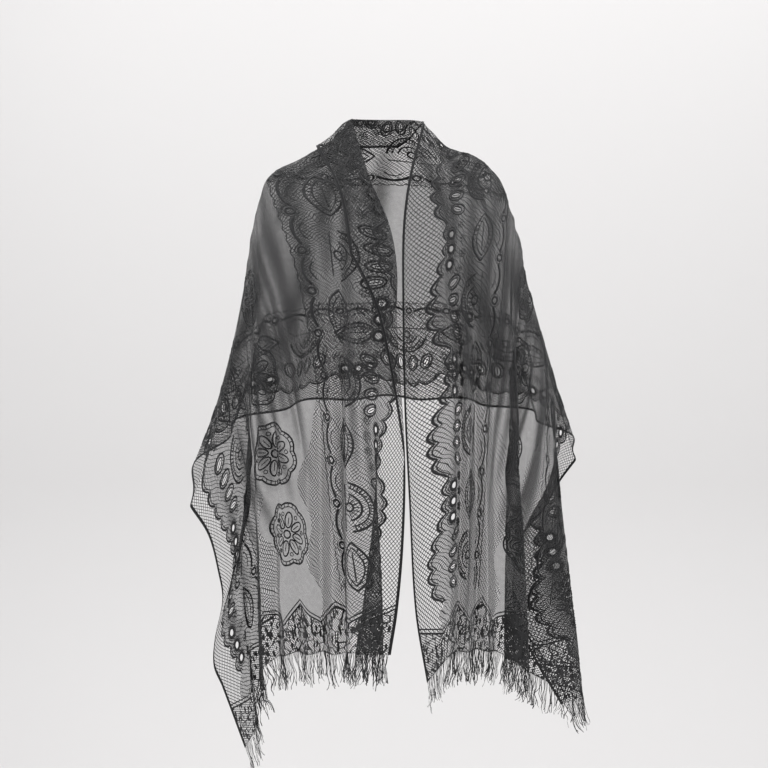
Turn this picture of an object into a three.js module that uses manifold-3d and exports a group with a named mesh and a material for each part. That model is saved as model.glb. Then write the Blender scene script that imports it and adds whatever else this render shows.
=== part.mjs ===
// A black lace shawl as it is worn: round the neck, over both arms and down the front.
// Millimetres, +Z up, the front faces -Y, +X is the side that a viewer in front sees on the right.
// The origin is the middle of the wearer's neck at the height of the shoulders.

import * as THREE from 'three';
import { mergeVertices } from 'three/addons/utils/BufferGeometryUtils.js';
import Module from 'manifold-3d';

const wasm = await Module();
wasm.setup();

// Driving dimensions of the flat cloth and of its wall.
const CLOTH_LENGTH = 1900;
const CLOTH_WIDTH = 600;
const WALL = 1.2;
const SEAM = 0.3;

// The neck edge is turned over by this much where the collar is whole.
const COLLAR_WIDTH = 58;
const COLLAR_LIFT = 4.5;

// The fringe on each short end.
const STRAND_LENGTH = 48;
const STRAND_COUNT = 58;
const STRAND_THICK = 1.1;
const STRAND_ROOT = 0.7;
const STRAND_LEAN = 0.2;
const STRAND_WEIGHT = 0.3;
const STRAND_SWAY = { share: 0.04, stepX: 2.4, stepY: 1.7 };
const STRAND_UNEVEN = { share: 0.12, step: 5.1 };
const STRIP_GAP = 1;
const STRIP_HEIGHT = 3;

// The lace border along both long edges: repeats of three rings and a fan of loops.
const REPEAT = 190;
const REPEATS = 9;
const RING_COUNT = 3;
const RING_LINE = 62;
const RING_SPACING = 24;
const RING_HOLE = { wide: 9, long: 9 };
const LOOP_COUNT = 4;
const LOOP_MIDDLE = 132;
const LOOP_LINE = 70;
const LOOP_SPACING = 25;
const LOOP_DROP = 2;
const LOOP_LEAN = 0.25;
const LOOP_HOLE = { wide: 6, long: 17 };
const HOLE_SIDES = 4;
const HOLE_MARGIN = 2.5;
const CUT_REACH = 8;

// The folds of the back: waves that hang down it, and shallow swags across it below the nape.
const BACK_WAVES = 7;
const BACK_WAVE_DEPTH = 22;
const BACK_WAVE_GROWTH = 1.1;
const BACK_WAVE_DRIFT = { share: 0.8, turns: 3 };
const SWAG_DEPTH = 5;
const SWAGS = 4;
const SWAG_BOW = 0.9;
const SWAG_END = 0.625;
const BACK_HEM_CURVE = 2.6;

// How closely the walls follow all these forms.
const BACK_COLUMNS = 36;
const COLUMN_STEP = 21;
const LEVELS = [0, 0.035, 0.09, 0.17, 0.27, 0.38, 0.5, 0.62, 0.75, 0.88, 1];

// Where the turned-over strip ends, on the back and on the left front, and its sections across.
const COLLAR_FIRST_TURN = 0.86;
const COLLAR_FULL_AFTER = 0.9;
const COLLAR_LAST_DOWN = 0.63;
const COLLAR_STEPS = [0, 0.25, 0.6, 1];
const COLLAR_SHOULDER_DOWNS = [0.014, 0.044, 0.056, 0.068, 0.095, 0.11, 0.13];
const COLLAR_ROLL = 14;

// Where the shawl lies on the shoulder and the arm, from the neck to the edge on the forearm.
const RIDGE = {
  left: [
    { x: -56, y: -5, z: 48 },
    { x: -77, y: 0, z: 24 },
    { x: -97, y: 2, z: 8 },
    { x: -134, y: 5, z: -12 },
    { x: -188, y: 5, z: -44 },
    { x: -207, y: 0, z: -101 },
    { x: -221, y: -5, z: -180 },
    { x: -243, y: -25, z: -313 },
    { x: -262, y: -40, z: -400 },
    { x: -282, y: -55, z: -476 },
    { x: -310, y: -70, z: -556 },
  ],
  right: [
    { x: 56, y: -5, z: 42 },
    { x: 76, y: 0, z: 22 },
    { x: 96, y: 2, z: 3 },
    { x: 143, y: 5, z: -11 },
    { x: 179, y: 3, z: -50 },
    { x: 191, y: 0, z: -79 },
    { x: 208, y: -4, z: -140 },
    { x: 220, y: -8, z: -197 },
    { x: 240, y: -18, z: -274 },
    { x: 264, y: -35, z: -372 },
    { x: 279, y: -48, z: -421 },
    { x: 297, y: -65, z: -482 },
  ],
};

// The short end of each front, folded: a row for each fold line, from the neck edge to the outer
// corner. Top is how far along the ridge the fold line starts, and from is the height, as a share of
// the way down, at which its fold begins to open.
const END_FOLDS = {
  left: [
    { name: 'opening', top: 0, from: 0.4, x: 6, y: -98, z: -788 },
    { name: 'under', top: 10, from: 0.4, x: -50, y: -106, z: -785 },
    { name: 'piece_right', top: 22, from: 0.4, x: -6, y: -134, z: -773 },
    { name: 'piece_left', top: 36, from: 0.3, x: -59, y: -144, z: -771 },
    { name: 'behind_piece', top: 44, from: 0.25, x: -64, y: -108, z: -781 },
    { name: 'pleat_1', top: 58, from: 0.08, x: -84, y: -130, z: -778 },
    { name: 'valley_1', top: 72, from: 0.08, x: -102, y: -96, z: -783 },
    { name: 'pleat_2', top: 88, from: 0.06, x: -122, y: -127, z: -779 },
    { name: 'valley_2', top: 104, from: 0.06, x: -141, y: -92, z: -785 },
    { name: 'pleat_3', top: 122, from: 0.06, x: -160, y: -120, z: -783 },
    { name: 'valley_3', top: 136, from: 0.06, x: -172, y: -82, z: -795 },
    { name: 'arm_fold', top: 160, from: 0.05, x: -200, y: -108, z: -811 },
    { name: 'arm_behind', top: 190, from: 0.05, x: -197, y: -76, z: -834 },
    { name: 'arm_pleat', top: 290, from: 0.05, x: -212, y: -66, z: -866 },
    { name: 'arm_outer', top: 430, from: 0.05, x: -209, y: -82, z: -908 },
    { name: 'corner', top: 704, from: 0.05, x: -228, y: -72, z: -951 },
  ],
  right: [
    { name: 'opening', top: 0, from: 0.35, x: 63, y: -102, z: -832 },
    { name: 'edge_ridge', top: 40, from: 0.1, x: 96, y: -134, z: -780 },
    { name: 'valley_1', top: 52, from: 0.1, x: 111, y: -96, z: -783 },
    { name: 'pleat_1', top: 66, from: 0.08, x: 126, y: -130, z: -774 },
    { name: 'valley_2', top: 80, from: 0.06, x: 141, y: -90, z: -781 },
    { name: 'pleat_2', top: 100, from: 0.06, x: 157, y: -126, z: -774 },
    { name: 'valley_3', top: 120, from: 0.06, x: 174, y: -92, z: -785 },
    { name: 'arm_fold', top: 170, from: 0.05, x: 221, y: -130, z: -800 },
    { name: 'arm_under', top: 215, from: 0.05, x: 187, y: -72, z: -800 },
    { name: 'arm_middle', top: 320, from: 0.05, x: 255, y: -90, z: -835 },
    { name: 'arm_outer', top: 470, from: 0.05, x: 313, y: -70, z: -861 },
    { name: 'corner', top: 622, from: 0.05, x: 282, y: -42, z: -889 },
  ],
};

// The lines that the main folds and the two long edges follow between the ridge and the short end.
const GUIDES = {
  left: [
    {
      fold: 'opening',
      through: [
        { x: -26, y: -62, z: -43 },
        { x: 4, y: -92, z: -115 },
        { x: 15, y: -104, z: -178 },
        { x: 15, y: -108, z: -257 },
        { x: 28, y: -102, z: -475 },
        { x: 26, y: -100, z: -602 },
        { x: 17, y: -100, z: -714 },
      ],
    },
    {
      fold: 'piece_left',
      through: [
        { x: -58, y: -70, z: -60 },
        { x: -60, y: -106, z: -170 },
        { x: -62, y: -124, z: -366 },
        { x: -61, y: -138, z: -560 },
      ],
    },
    {
      fold: 'arm_fold',
      through: [
        { x: -196, y: -64, z: -168 },
        { x: -199, y: -98, z: -381 },
        { x: -201, y: -106, z: -616 },
      ],
    },
    {
      fold: 'corner',
      through: [
        { x: -282, y: -72, z: -601 },
        { x: -267, y: -74, z: -660 },
        { x: -261, y: -74, z: -706 },
        { x: -274, y: -74, z: -771 },
        { x: -276, y: -74, z: -814 },
        { x: -263, y: -74, z: -848 },
      ],
    },
  ],
  right: [
    {
      fold: 'opening',
      through: [
        { x: 34, y: -64, z: -40 },
        { x: 24, y: -92, z: -115 },
        { x: 23, y: -106, z: -220 },
        { x: 26, y: -104, z: -381 },
        { x: 34, y: -102, z: -540 },
        { x: 44, y: -102, z: -714 },
      ],
    },
    {
      fold: 'edge_ridge',
      through: [
        { x: 89, y: -96, z: -136 },
        { x: 86, y: -112, z: -190 },
        { x: 98, y: -122, z: -301 },
        { x: 101, y: -132, z: -540 },
      ],
    },
    {
      fold: 'arm_fold',
      through: [
        { x: 187, y: -72, z: -183 },
        { x: 193, y: -96, z: -289 },
        { x: 205, y: -118, z: -519 },
        { x: 216, y: -126, z: -680 },
      ],
    },
    {
      fold: 'arm_outer',
      through: [
        { x: 266, y: -84, z: -480 },
        { x: 274, y: -86, z: -560 },
        { x: 298, y: -78, z: -744 },
      ],
    },
    {
      fold: 'corner',
      through: [
        { x: 273, y: -52, z: -520 },
        { x: 252, y: -34, z: -566 },
        { x: 223, y: -24, z: -606 },
        { x: 207, y: -20, z: -655 },
        { x: 206, y: -20, z: -738 },
        { x: 233, y: -28, z: -805 },
      ],
    },
  ],
};

// The middle of the back, from the nape down to the long edge at the waist.
const SPINE = [
  { x: 0, y: 60, z: 48 },
  { x: 0, y: 76, z: 5 },
  { x: 0, y: 98, z: -75 },
  { x: 0, y: 106, z: -180 },
  { x: 0, y: 104, z: -300 },
  { x: 0, y: 98, z: -408 },
];

// How far the ridge and the nape lie along the flat cloth from its middle.
const RIDGE_ALONG = [
  { at: 0, along: 105 },
  { at: 0.24, along: 225 },
  { at: 0.57, along: 400 },
  { at: 1, along: 495 },
];

// Where the seam along the ridge has its corners, as shares of its length.
const RIDGE_STATIONS = [0, 0.04, 0.09, 0.15, 0.22, 0.3, 0.4, 0.52, 0.66, 0.83, 1];

// The width of the turned-over strip down the left front.
const COLLAR_TAPER = [
  { down: 0, share: 1 },
  { down: 0.28, share: 0.9 },
  { down: 0.38, share: 0.56 },
  { down: 0.52, share: 0.25 },
  { down: 0.66, share: 0 },
];

const lerp = (a, b, t) => a + (b - a) * t;
const clamp01 = (t) => Math.min(1, Math.max(0, t));
const smooth = (t) => t * t * (3 - 2 * t);
const evenly = (count) => Array.from({ length: count + 1 }, (_, i) => i / count);

// Smooth curves through the rows of a table.
function chordLengths(rows) {
  const sums = [0];
  for (let i = 1; i < rows.length; i += 1) {
    const before = rows[i - 1];
    const step = Math.hypot(rows[i].x - before.x, rows[i].y - before.y, rows[i].z - before.z);
    sums.push(sums[i - 1] + step);
  }
  return sums;
}

function segmentAt(knots, t) {
  let i = 0;
  while (i < knots.length - 2 && t > knots[i + 1]) i += 1;
  return i;
}

// The cubic through the values at the knots, with the slope at each knot that its neighbours give.
function cubicAt(knots, values, t) {
  const last = knots.length - 1;
  const slope = (i) => {
    const a = Math.max(0, i - 1);
    const b = Math.min(last, i + 1);
    return (values[b] - values[a]) / (knots[b] - knots[a]);
  };
  const i = segmentAt(knots, t);
  const span = knots[i + 1] - knots[i];
  const w = (t - knots[i]) / span;
  const w2 = w * w;
  const w3 = w2 * w;
  return (2 * w3 - 3 * w2 + 1) * values[i]
    + (w3 - 2 * w2 + w) * span * slope(i)
    + (3 * w2 - 2 * w3) * values[i + 1]
    + (w3 - w2) * span * slope(i + 1);
}

function linearAt(knots, values, t) {
  const i = segmentAt(knots, t);
  const w = clamp01((t - knots[i]) / (knots[i + 1] - knots[i]));
  return lerp(values[i], values[i + 1], w);
}

function makeCurve(rows) {
  const sums = chordLengths(rows);
  const knots = sums.map((sum) => sum / sums[sums.length - 1]);
  const columns = ['x', 'y', 'z'].map((key) => rows.map((row) => row[key]));
  const at = (t) => new THREE.Vector3(...columns.map((values) => cubicAt(knots, values, t)));
  return { knots, at };
}

// A chain of straight steps between stations, so that pieces on both sides share one seam line.
function makeChain(vectorAt, stations) {
  const vectors = stations.map((station) => vectorAt(station));
  return (t) => {
    const i = segmentAt(stations, t);
    const w = (t - stations[i]) / (stations[i + 1] - stations[i]);
    return vectors[i].clone().lerp(vectors[i + 1], w);
  };
}

const ridgeAlong = (share) => linearAt(
  RIDGE_ALONG.map((row) => row.at),
  RIDGE_ALONG.map((row) => row.along),
  share,
);

const ridgeAt = {
  left: makeChain(makeCurve(RIDGE.left).at, RIDGE_STATIONS),
  right: makeChain(makeCurve(RIDGE.right).at, RIDGE_STATIONS),
};

// The width that is turned over: all round the nape, down the left front, and gone on the right.
const COLLAR_KNOTS = COLLAR_TAPER.map((row) => row.down);
const COLLAR_SHARES = COLLAR_TAPER.map((row) => row.share);

const neckEdge = {
  left: (down) => COLLAR_WIDTH * linearAt(COLLAR_KNOTS, COLLAR_SHARES, down),
  right: () => 0,
  back: (turn) => COLLAR_WIDTH * smooth(clamp01((1 - turn) / COLLAR_FULL_AFTER)),
};

const SIGN = { left: -1, right: 1 };

// One front, from its ridge (down = 0) to its short end (down = 1), and from the neck edge
// (across = 0) to the outer long edge (across = 1).
function makeFront(side) {
  const folds = END_FOLDS[side];
  const lengths = chordLengths(RIDGE[side]);
  const end = makeCurve(folds);
  const tops = folds.map((fold) => clamp01(fold.top / lengths[lengths.length - 1]));
  const starts = folds.map((fold) => fold.from);
  const first = end.at(0);
  const last = end.at(1);

  const topAt = (across) => linearAt(end.knots, tops, across);

  function plain(across, down) {
    const top = ridgeAt[side](topAt(across));
    const mean = first.clone().lerp(last, across);
    const fold = end.at(across).sub(mean);
    const start = linearAt(end.knots, starts, across);
    const opened = clamp01((down - start) / (1 - start));
    const open = (opened + smooth(opened)) / 2;
    const forward = 1 - (1 - down) ** 3;
    return new THREE.Vector3(
      lerp(top.x, mean.x, down) + fold.x * open,
      lerp(top.y, mean.y, forward) + fold.y * open,
      lerp(top.z, mean.z, down) + fold.z * open,
    );
  }

  const guides = GUIDES[side].map((guide) => {
    const across = end.knots[folds.findIndex((fold) => fold.name === guide.fold)];
    const rows = [ridgeAt[side](topAt(across)), ...guide.through, end.at(across)];
    return { across, curve: makeCurve(rows) };
  });

  function point(across, down) {
    let i = 0;
    while (i < guides.length - 2 && across > guides[i + 1].across) i += 1;
    const shift = (guide) => guide.curve.at(down).sub(plain(guide.across, down));
    const w = (across - guides[i].across) / (guides[i + 1].across - guides[i].across);
    return plain(across, down).add(shift(guides[i]).lerp(shift(guides[i + 1]), smooth(clamp01(w))));
  }

  // The place on the flat cloth: along it from its middle, and across it from the neck edge.
  function flat(across, down) {
    const neck = neckEdge[side](0);
    const top = topAt(across);
    const turned = neckEdge[side](down) - neck * (1 - down);
    return {
      u: SIGN[side] * lerp(ridgeAlong(top), CLOTH_LENGTH / 2, down),
      v: lerp(lerp(neck, CLOTH_WIDTH, top), CLOTH_WIDTH * across, down) + turned * (1 - across) ** 3,
    };
  }

  function downAt(across, u) {
    const top = ridgeAlong(topAt(across));
    return clamp01((Math.abs(u) - top) / (CLOTH_LENGTH / 2 - top));
  }

  const acrossOf = (name) => end.knots[folds.findIndex((fold) => fold.name === name)];
  const acrossAtTop = (share) => linearAt(tops, end.knots, share);

  return { point, flat, downAt, acrossOf, topAt, acrossAtTop, knots: end.knots };
}

const front = { left: makeFront('left'), right: makeFront('right') };

// The back, from the left ridge (turn = -1) to the right one (turn = 1), and from the neck edge
// (down = 0) to the long edge at the waist (down = 1).
const spine = makeCurve(SPINE);

function backPoint(turn, down) {
  const edge = ridgeAt[turn < 0 ? 'left' : 'right'](down);
  const middle = spine.at(down);
  const reach = Math.abs(turn);
  const angle = reach * Math.PI / 2;
  const waveFade = (1 - reach ** 4) * down ** BACK_WAVE_GROWTH;
  const drift = BACK_WAVE_DRIFT.share * Math.sin(turn * BACK_WAVE_DRIFT.turns);
  const wave = Math.cos(turn * Math.PI * BACK_WAVES + drift);
  const swagFade = Math.sin(Math.PI * clamp01(down / SWAG_END)) * (1 - reach ** 2) ** 2;
  const swag = Math.sin(2 * Math.PI * (down * SWAGS + SWAG_BOW * (1 - reach ** 2)));
  const folds = BACK_WAVE_DEPTH * waveFade * wave + SWAG_DEPTH * swagFade * swag;
  return new THREE.Vector3(
    (edge.x + Math.sign(turn) * folds) * Math.sin(angle),
    lerp(edge.y, middle.y, Math.cos(angle)) + folds * Math.cos(angle),
    lerp(middle.z, edge.z, reach ** BACK_HEM_CURVE),
  );
}

const backFlat = (turn, down) => ({
  u: turn * ridgeAlong(down),
  v: lerp(neckEdge.back(turn), CLOTH_WIDTH, down),
});

// The way out of the cloth, away from the wearer. Along the ridge both sides share one.
function slopeOf(pointAt, a, b, lowA) {
  const step = 0.004;
  const da = pointAt(Math.min(1, a + step), b).sub(pointAt(Math.max(lowA, a - step), b));
  const db = pointAt(a, Math.min(1, b + step)).sub(pointAt(a, Math.max(0, b - step)));
  return da.cross(db).normalize();
}

const rawBackNormal = (turn, down) => slopeOf(backPoint, turn, down, -1);
const rawFrontNormal = (side, across, down) => slopeOf(front[side].point, across, down, 0)
  .multiplyScalar(-SIGN[side]);

function ridgeNormal(side) {
  return makeChain((share) => {
    const inBack = rawBackNormal(SIGN[side], share);
    const inFront = rawFrontNormal(side, front[side].acrossAtTop(share), 0);
    return inBack.add(inFront).normalize();
  }, RIDGE_STATIONS);
}

const ridgeOut = { left: ridgeNormal('left'), right: ridgeNormal('right') };

function backNormal(turn, down) {
  if (Math.abs(turn) > 1 - 1e-6) return ridgeOut[turn < 0 ? 'left' : 'right'](down).normalize();
  return rawBackNormal(turn, down);
}

function frontNormal(side, across, down) {
  if (down > 1e-6) return rawFrontNormal(side, across, down);
  return ridgeOut[side](front[side].topAt(across)).normalize();
}

// Where a place on the flat cloth lies when it is worn.
const BISECTIONS = 24;

function bisect(reached, target) {
  let low = 0;
  let high = 1;
  for (let i = 0; i < BISECTIONS; i += 1) {
    const middle = (low + high) / 2;
    if (reached(middle) < target) low = middle;
    else high = middle;
  }
  return (low + high) / 2;
}

function worn(u, v) {
  const side = u < 0 ? 'left' : 'right';
  const neck = neckEdge[side](0);
  const share = clamp01((v - neck) / (CLOTH_WIDTH - neck));
  if (Math.abs(u) <= ridgeAlong(share)) {
    const turnAt = (down) => Math.max(-1, Math.min(1, u / ridgeAlong(down)));
    const down = bisect((t) => backFlat(turnAt(t), t).v, v);
    const turn = turnAt(down);
    return { node: 'back', point: backPoint(turn, down), normal: backNormal(turn, down) };
  }
  const cloth = front[side];
  const across = bisect((t) => cloth.flat(t, cloth.downAt(t, u)).v, v);
  const down = cloth.downAt(across, u);
  const node = across < cloth.acrossOf('arm_fold') ? `front_${side}` : `arm_${side}`;
  return { node, point: cloth.point(across, down), normal: frontNormal(side, across, down) };
}

// A wall of the cloth's thickness on a grid of points, closed all round.
function wallGeometry({ pointAt, normalAt, listA, listB }) {
  const countA = listA.length;
  const countB = listB.length;
  const grid = listA.map((a) => listB.map((b) => ({ point: pointAt(a, b), normal: normalAt(a, b) })));
  const positions = [];
  for (const face of [0.5, -0.5]) {
    for (const cell of grid.flat()) {
      positions.push(...cell.point.clone().addScaledVector(cell.normal, face * WALL).toArray());
    }
  }
  const corner = grid[0][0].point;
  const turned = grid[1][0].point.clone().sub(corner)
    .cross(grid[0][1].point.clone().sub(corner))
    .dot(grid[0][0].normal) < 0;
  const outer = (i, j) => i * countB + j;
  const inner = (i, j) => countA * countB + outer(i, j);
  const index = [];
  const quad = (p, q, r, s) => {
    if (turned) index.push(p, r, q, p, s, r);
    else index.push(p, q, r, p, r, s);
  };
  for (let i = 0; i < countA - 1; i += 1) {
    for (let j = 0; j < countB - 1; j += 1) {
      quad(outer(i, j), outer(i + 1, j), outer(i + 1, j + 1), outer(i, j + 1));
      quad(inner(i, j), inner(i, j + 1), inner(i + 1, j + 1), inner(i + 1, j));
    }
    const far = countB - 1;
    quad(outer(i + 1, 0), outer(i, 0), inner(i, 0), inner(i + 1, 0));
    quad(outer(i, far), outer(i + 1, far), inner(i + 1, far), inner(i, far));
  }
  for (let j = 0; j < countB - 1; j += 1) {
    const far = countA - 1;
    quad(outer(0, j), outer(0, j + 1), inner(0, j + 1), inner(0, j));
    quad(outer(far, j + 1), outer(far, j), inner(far, j), inner(far, j + 1));
  }
  const geometry = new THREE.BufferGeometry();
  geometry.setAttribute('position', new THREE.Float32BufferAttribute(positions, 3));
  geometry.setIndex(index);
  return geometry;
}

function toSolid(geometry) {
  const merged = mergeVertices(geometry, 1e-4);
  return new wasm.Manifold(new wasm.Mesh({
    numProp: 3,
    vertProperties: new Float32Array(merged.attributes.position.array),
    triVerts: new Uint32Array(merged.index.array),
  }));
}

function fromSolid(solid) {
  const mesh = solid.getMesh();
  const geometry = new THREE.BufferGeometry();
  geometry.setAttribute('position', new THREE.Float32BufferAttribute(mesh.vertProperties, 3));
  geometry.setIndex(new THREE.BufferAttribute(mesh.triVerts, 1));
  geometry.computeVertexNormals();
  return geometry;
}

// The lace border: on both long edges, three rings and then a fan of loops, again and again.
function borderHoles() {
  const holes = [];
  for (let k = 0; k < REPEATS; k += 1) {
    const start = (k - REPEATS / 2) * REPEAT;
    for (let i = 0; i < RING_COUNT; i += 1) {
      holes.push({ shape: RING_HOLE, u: start + RING_SPACING * (i + 0.75), v: RING_LINE, lean: 0 });
    }
    for (let i = 0; i < LOOP_COUNT; i += 1) {
      const place = i - (LOOP_COUNT - 1) / 2;
      holes.push({
        shape: LOOP_HOLE,
        u: start + LOOP_MIDDLE + LOOP_SPACING * place,
        v: LOOP_LINE + LOOP_DROP * place * place,
        lean: LOOP_LEAN * place,
      });
    }
  }
  const mirrored = holes.map((hole) => ({ ...hole, v: CLOTH_WIDTH - hole.v, lean: -hole.lean }));
  return [...holes, ...mirrored];
}

// A hole's outline on the flat cloth: its corners, wide along the cloth and long across it.
function holeCorners({ shape, u, v, lean }) {
  return evenly(HOLE_SIDES).slice(1).map((turn) => {
    const angle = 2 * Math.PI * turn;
    const wide = Math.sin(angle) * shape.wide / 2;
    const long = Math.cos(angle) * shape.long / 2;
    return {
      u: u + wide * Math.cos(lean) + long * Math.sin(lean),
      v: v + long * Math.cos(lean) - wide * Math.sin(lean),
    };
  });
}

function collarEdgeAt(u) {
  const start = ridgeAlong(0);
  if (Math.abs(u) <= start) return neckEdge.back(u / start);
  return neckEdge[u < 0 ? 'left' : 'right'](front[u < 0 ? 'left' : 'right'].downAt(0, u));
}

// The cutter for one hole, or nothing where the hole would meet a seam or an edge.
function holeCutter(hole) {
  const middle = worn(hole.u, hole.v);
  const reach = HOLE_MARGIN + Math.max(hole.shape.wide, hole.shape.long) / 2;
  const around = [[reach, 0], [-reach, 0], [0, reach], [0, -reach]]
    .map(([du, dv]) => ({ u: hole.u + du, v: hole.v + dv }));
  const clear = around.every(({ u, v }) => Math.abs(u) < CLOTH_LENGTH / 2
    && v > collarEdgeAt(u)
    && v < CLOTH_WIDTH
    && worn(u, v).node === middle.node);
  if (!clear) return null;
  const rim = holeCorners(hole).map(({ u, v }) => worn(u, v).point);
  const positions = [];
  for (const way of [CUT_REACH, -CUT_REACH]) {
    for (const point of rim) {
      positions.push(...point.clone().addScaledVector(middle.normal, way).toArray());
    }
  }
  const count = rim.length;
  const index = [];
  for (let i = 0; i < count; i += 1) {
    const next = (i + 1) % count;
    index.push(i, i + count, next + count, i, next + count, next);
  }
  for (let i = 1; i < count - 1; i += 1) {
    index.push(0, i, i + 1, count, count + i + 1, count + i);
  }
  const spokeA = rim[0].clone().sub(middle.point);
  const spokeB = rim[1].clone().sub(middle.point);
  if (spokeA.cross(spokeB).dot(middle.normal) < 0) index.reverse();
  const geometry = new THREE.BufferGeometry();
  geometry.setAttribute('position', new THREE.Float32BufferAttribute(positions, 3));
  geometry.setIndex(index);
  return { node: middle.node, solid: toSolid(geometry) };
}

const cutters = borderHoles().map(holeCutter).filter((cutter) => cutter !== null);

function withHoles(node, geometry) {
  let solid = toSolid(geometry);
  for (const cutter of cutters.filter((item) => item.node === node)) {
    solid = solid.subtract(cutter.solid);
  }
  return fromSolid(solid);
}

// The columns of a front between two of its folds: one at each fold line and at each corner of the
// seam along the ridge, and more between them.
function columnsBetween(side, from, to) {
  const { knots, acrossOf, acrossAtTop } = front[side];
  const low = acrossOf(from);
  const high = acrossOf(to);
  const corners = RIDGE_STATIONS.map(acrossAtTop)
    .filter((corner) => knots.every((knot) => Math.abs(knot - corner) > 1e-4));
  const fixed = [...knots, ...corners]
    .filter((across) => across >= low && across <= high)
    .sort((a, b) => a - b);
  const columns = [low];
  for (let i = 1; i < fixed.length; i += 1) {
    const steps = Math.ceil((fixed[i] - fixed[i - 1]) * CLOTH_WIDTH / COLUMN_STEP);
    for (const w of evenly(steps).slice(1)) columns.push(lerp(fixed[i - 1], fixed[i], w));
  }
  return columns;
}

// Down from one level of a front, in the cloth and square to that level.
const NEAR = 0.01;

function squareDown(side, across, down) {
  const before = front[side].point(Math.max(0, across - NEAR), down);
  const along = front[side].point(Math.min(1, across + NEAR), down).sub(before).normalize();
  const square = along.cross(frontNormal(side, across, down)).normalize();
  const from = Math.min(down, 1 - 3 * NEAR);
  const fall = front[side].point(across, from + 3 * NEAR).sub(front[side].point(across, from));
  return square.multiplyScalar(Math.sign(square.dot(fall)));
}

function frontGeometry(side, from, to) {
  const columns = columnsBetween(side, from, to);
  const isArm = from !== 'opening';
  return wallGeometry({
    pointAt: (across, down) => {
      const point = front[side].point(across, down);
      if (down === 0) point.addScaledVector(squareDown(side, across, 0), SEAM);
      if (isArm && across === columns[0]) {
        const ahead = front[side].point(across + NEAR, down).sub(point).normalize();
        point.addScaledVector(ahead, SEAM);
      }
      return point;
    },
    normalAt: (across, down) => frontNormal(side, across, down),
    listA: columns,
    listB: LEVELS,
  });
}

const BACK_TURNS = evenly(BACK_COLUMNS).map((w) => 2 * w - 1);

function backGeometry() {
  return wallGeometry({
    pointAt: backPoint,
    normalAt: backNormal,
    listA: BACK_TURNS,
    listB: RIDGE_STATIONS,
  });
}

// The turned-over strip: it lies where the cloth beyond its fold lies, a little further out.
function collarGeometry() {
  const behind = BACK_TURNS.filter((turn) => turn < COLLAR_FIRST_TURN && turn > -1)
    .reverse()
    .map((turn) => turn * ridgeAlong(0));
  const before = [...COLLAR_SHOULDER_DOWNS, ...LEVELS]
    .filter((down) => down < COLLAR_LAST_DOWN)
    .sort((a, b) => a - b)
    .map((down) => front.left.flat(0, down).u);
  const rollPoint = makeChain((down) => front.left.point(0, down), LEVELS);
  const rollNormal = makeChain((down) => frontNormal('left', 0, down), LEVELS);
  const place = (u, w) => {
    const onFront = w === 0 && u <= -ridgeAlong(0);
    if (!onFront) return worn(u, collarEdgeAt(u) * (1 + w));
    const down = front.left.downAt(0, u);
    return { point: rollPoint(down), normal: rollNormal(down).normalize() };
  };
  return wallGeometry({
    pointAt: (u, w) => {
      const { point, normal } = place(u, w);
      const lift = WALL + SEAM + COLLAR_LIFT * smooth(clamp01(collarEdgeAt(u) * w / COLLAR_ROLL));
      return point.addScaledVector(normal, lift);
    },
    normalAt: (u, w) => place(u, w).normal,
    listA: [...behind, ...before],
    listB: COLLAR_STEPS,
  });
}

// A fringed end: a narrow strip just beyond the cloth's edge, with strands that hang from it.
function fringeGeometry(side) {
  const columns = [
    ...columnsBetween(side, 'opening', 'arm_fold'),
    ...columnsBetween(side, 'arm_fold', 'corner').slice(1),
  ];
  const square = (across) => squareDown(side, across, 1);
  const beyond = (across, distance) => front[side].point(across, 1)
    .addScaledVector(square(across), distance);
  let solid = toSolid(wallGeometry({
    pointAt: beyond,
    normalAt: (across) => frontNormal(side, across, 1),
    listA: columns,
    listB: [STRIP_GAP, STRIP_GAP + STRIP_HEIGHT],
  }));
  const rootAt = makeChain((across) => beyond(across, STRIP_GAP + STRIP_HEIGHT - STRAND_ROOT), columns);
  for (let k = 0; k < STRAND_COUNT; k += 1) {
    const across = (k + 0.5) / STRAND_COUNT;
    const root = rootAt(across);
    const sway = new THREE.Vector3(
      STRAND_SWAY.share * Math.sin(k * STRAND_SWAY.stepX),
      STRAND_SWAY.share * Math.cos(k * STRAND_SWAY.stepY),
      -STRAND_WEIGHT,
    );
    const outward = frontNormal(side, across, 1).multiplyScalar(STRAND_LEAN);
    const way = square(across).add(sway).add(outward).normalize();
    const length = STRAND_LENGTH * (1 + STRAND_UNEVEN.share * Math.sin(k * STRAND_UNEVEN.step));
    solid = solid.add(strandSolid(root, way, length));
  }
  return fromSolid(solid);
}

function strandSolid(root, way, length) {
  const strand = new THREE.CylinderGeometry(STRAND_THICK / 2, STRAND_THICK / 4, length, 3);
  strand.deleteAttribute('normal');
  strand.deleteAttribute('uv');
  const down = new THREE.Vector3(0, -1, 0);
  strand.applyQuaternion(new THREE.Quaternion().setFromUnitVectors(down, way));
  const middle = root.clone().addScaledVector(way, length / 2);
  strand.translate(middle.x, middle.y, middle.z);
  return toSolid(strand);
}

function clothMaterial(color) {
  return new THREE.MeshStandardMaterial({ color, roughness: 0.9, metalness: 0, side: THREE.DoubleSide });
}

const LACE_BLACK = 0x141416;
const COLLAR_BLACK = 0x1b1b1e;
const FRINGE_BLACK = 0x202024;

function namedMesh(name, geometry, color) {
  const mesh = new THREE.Mesh(geometry, clothMaterial(color));
  mesh.name = name;
  return mesh;
}

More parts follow.
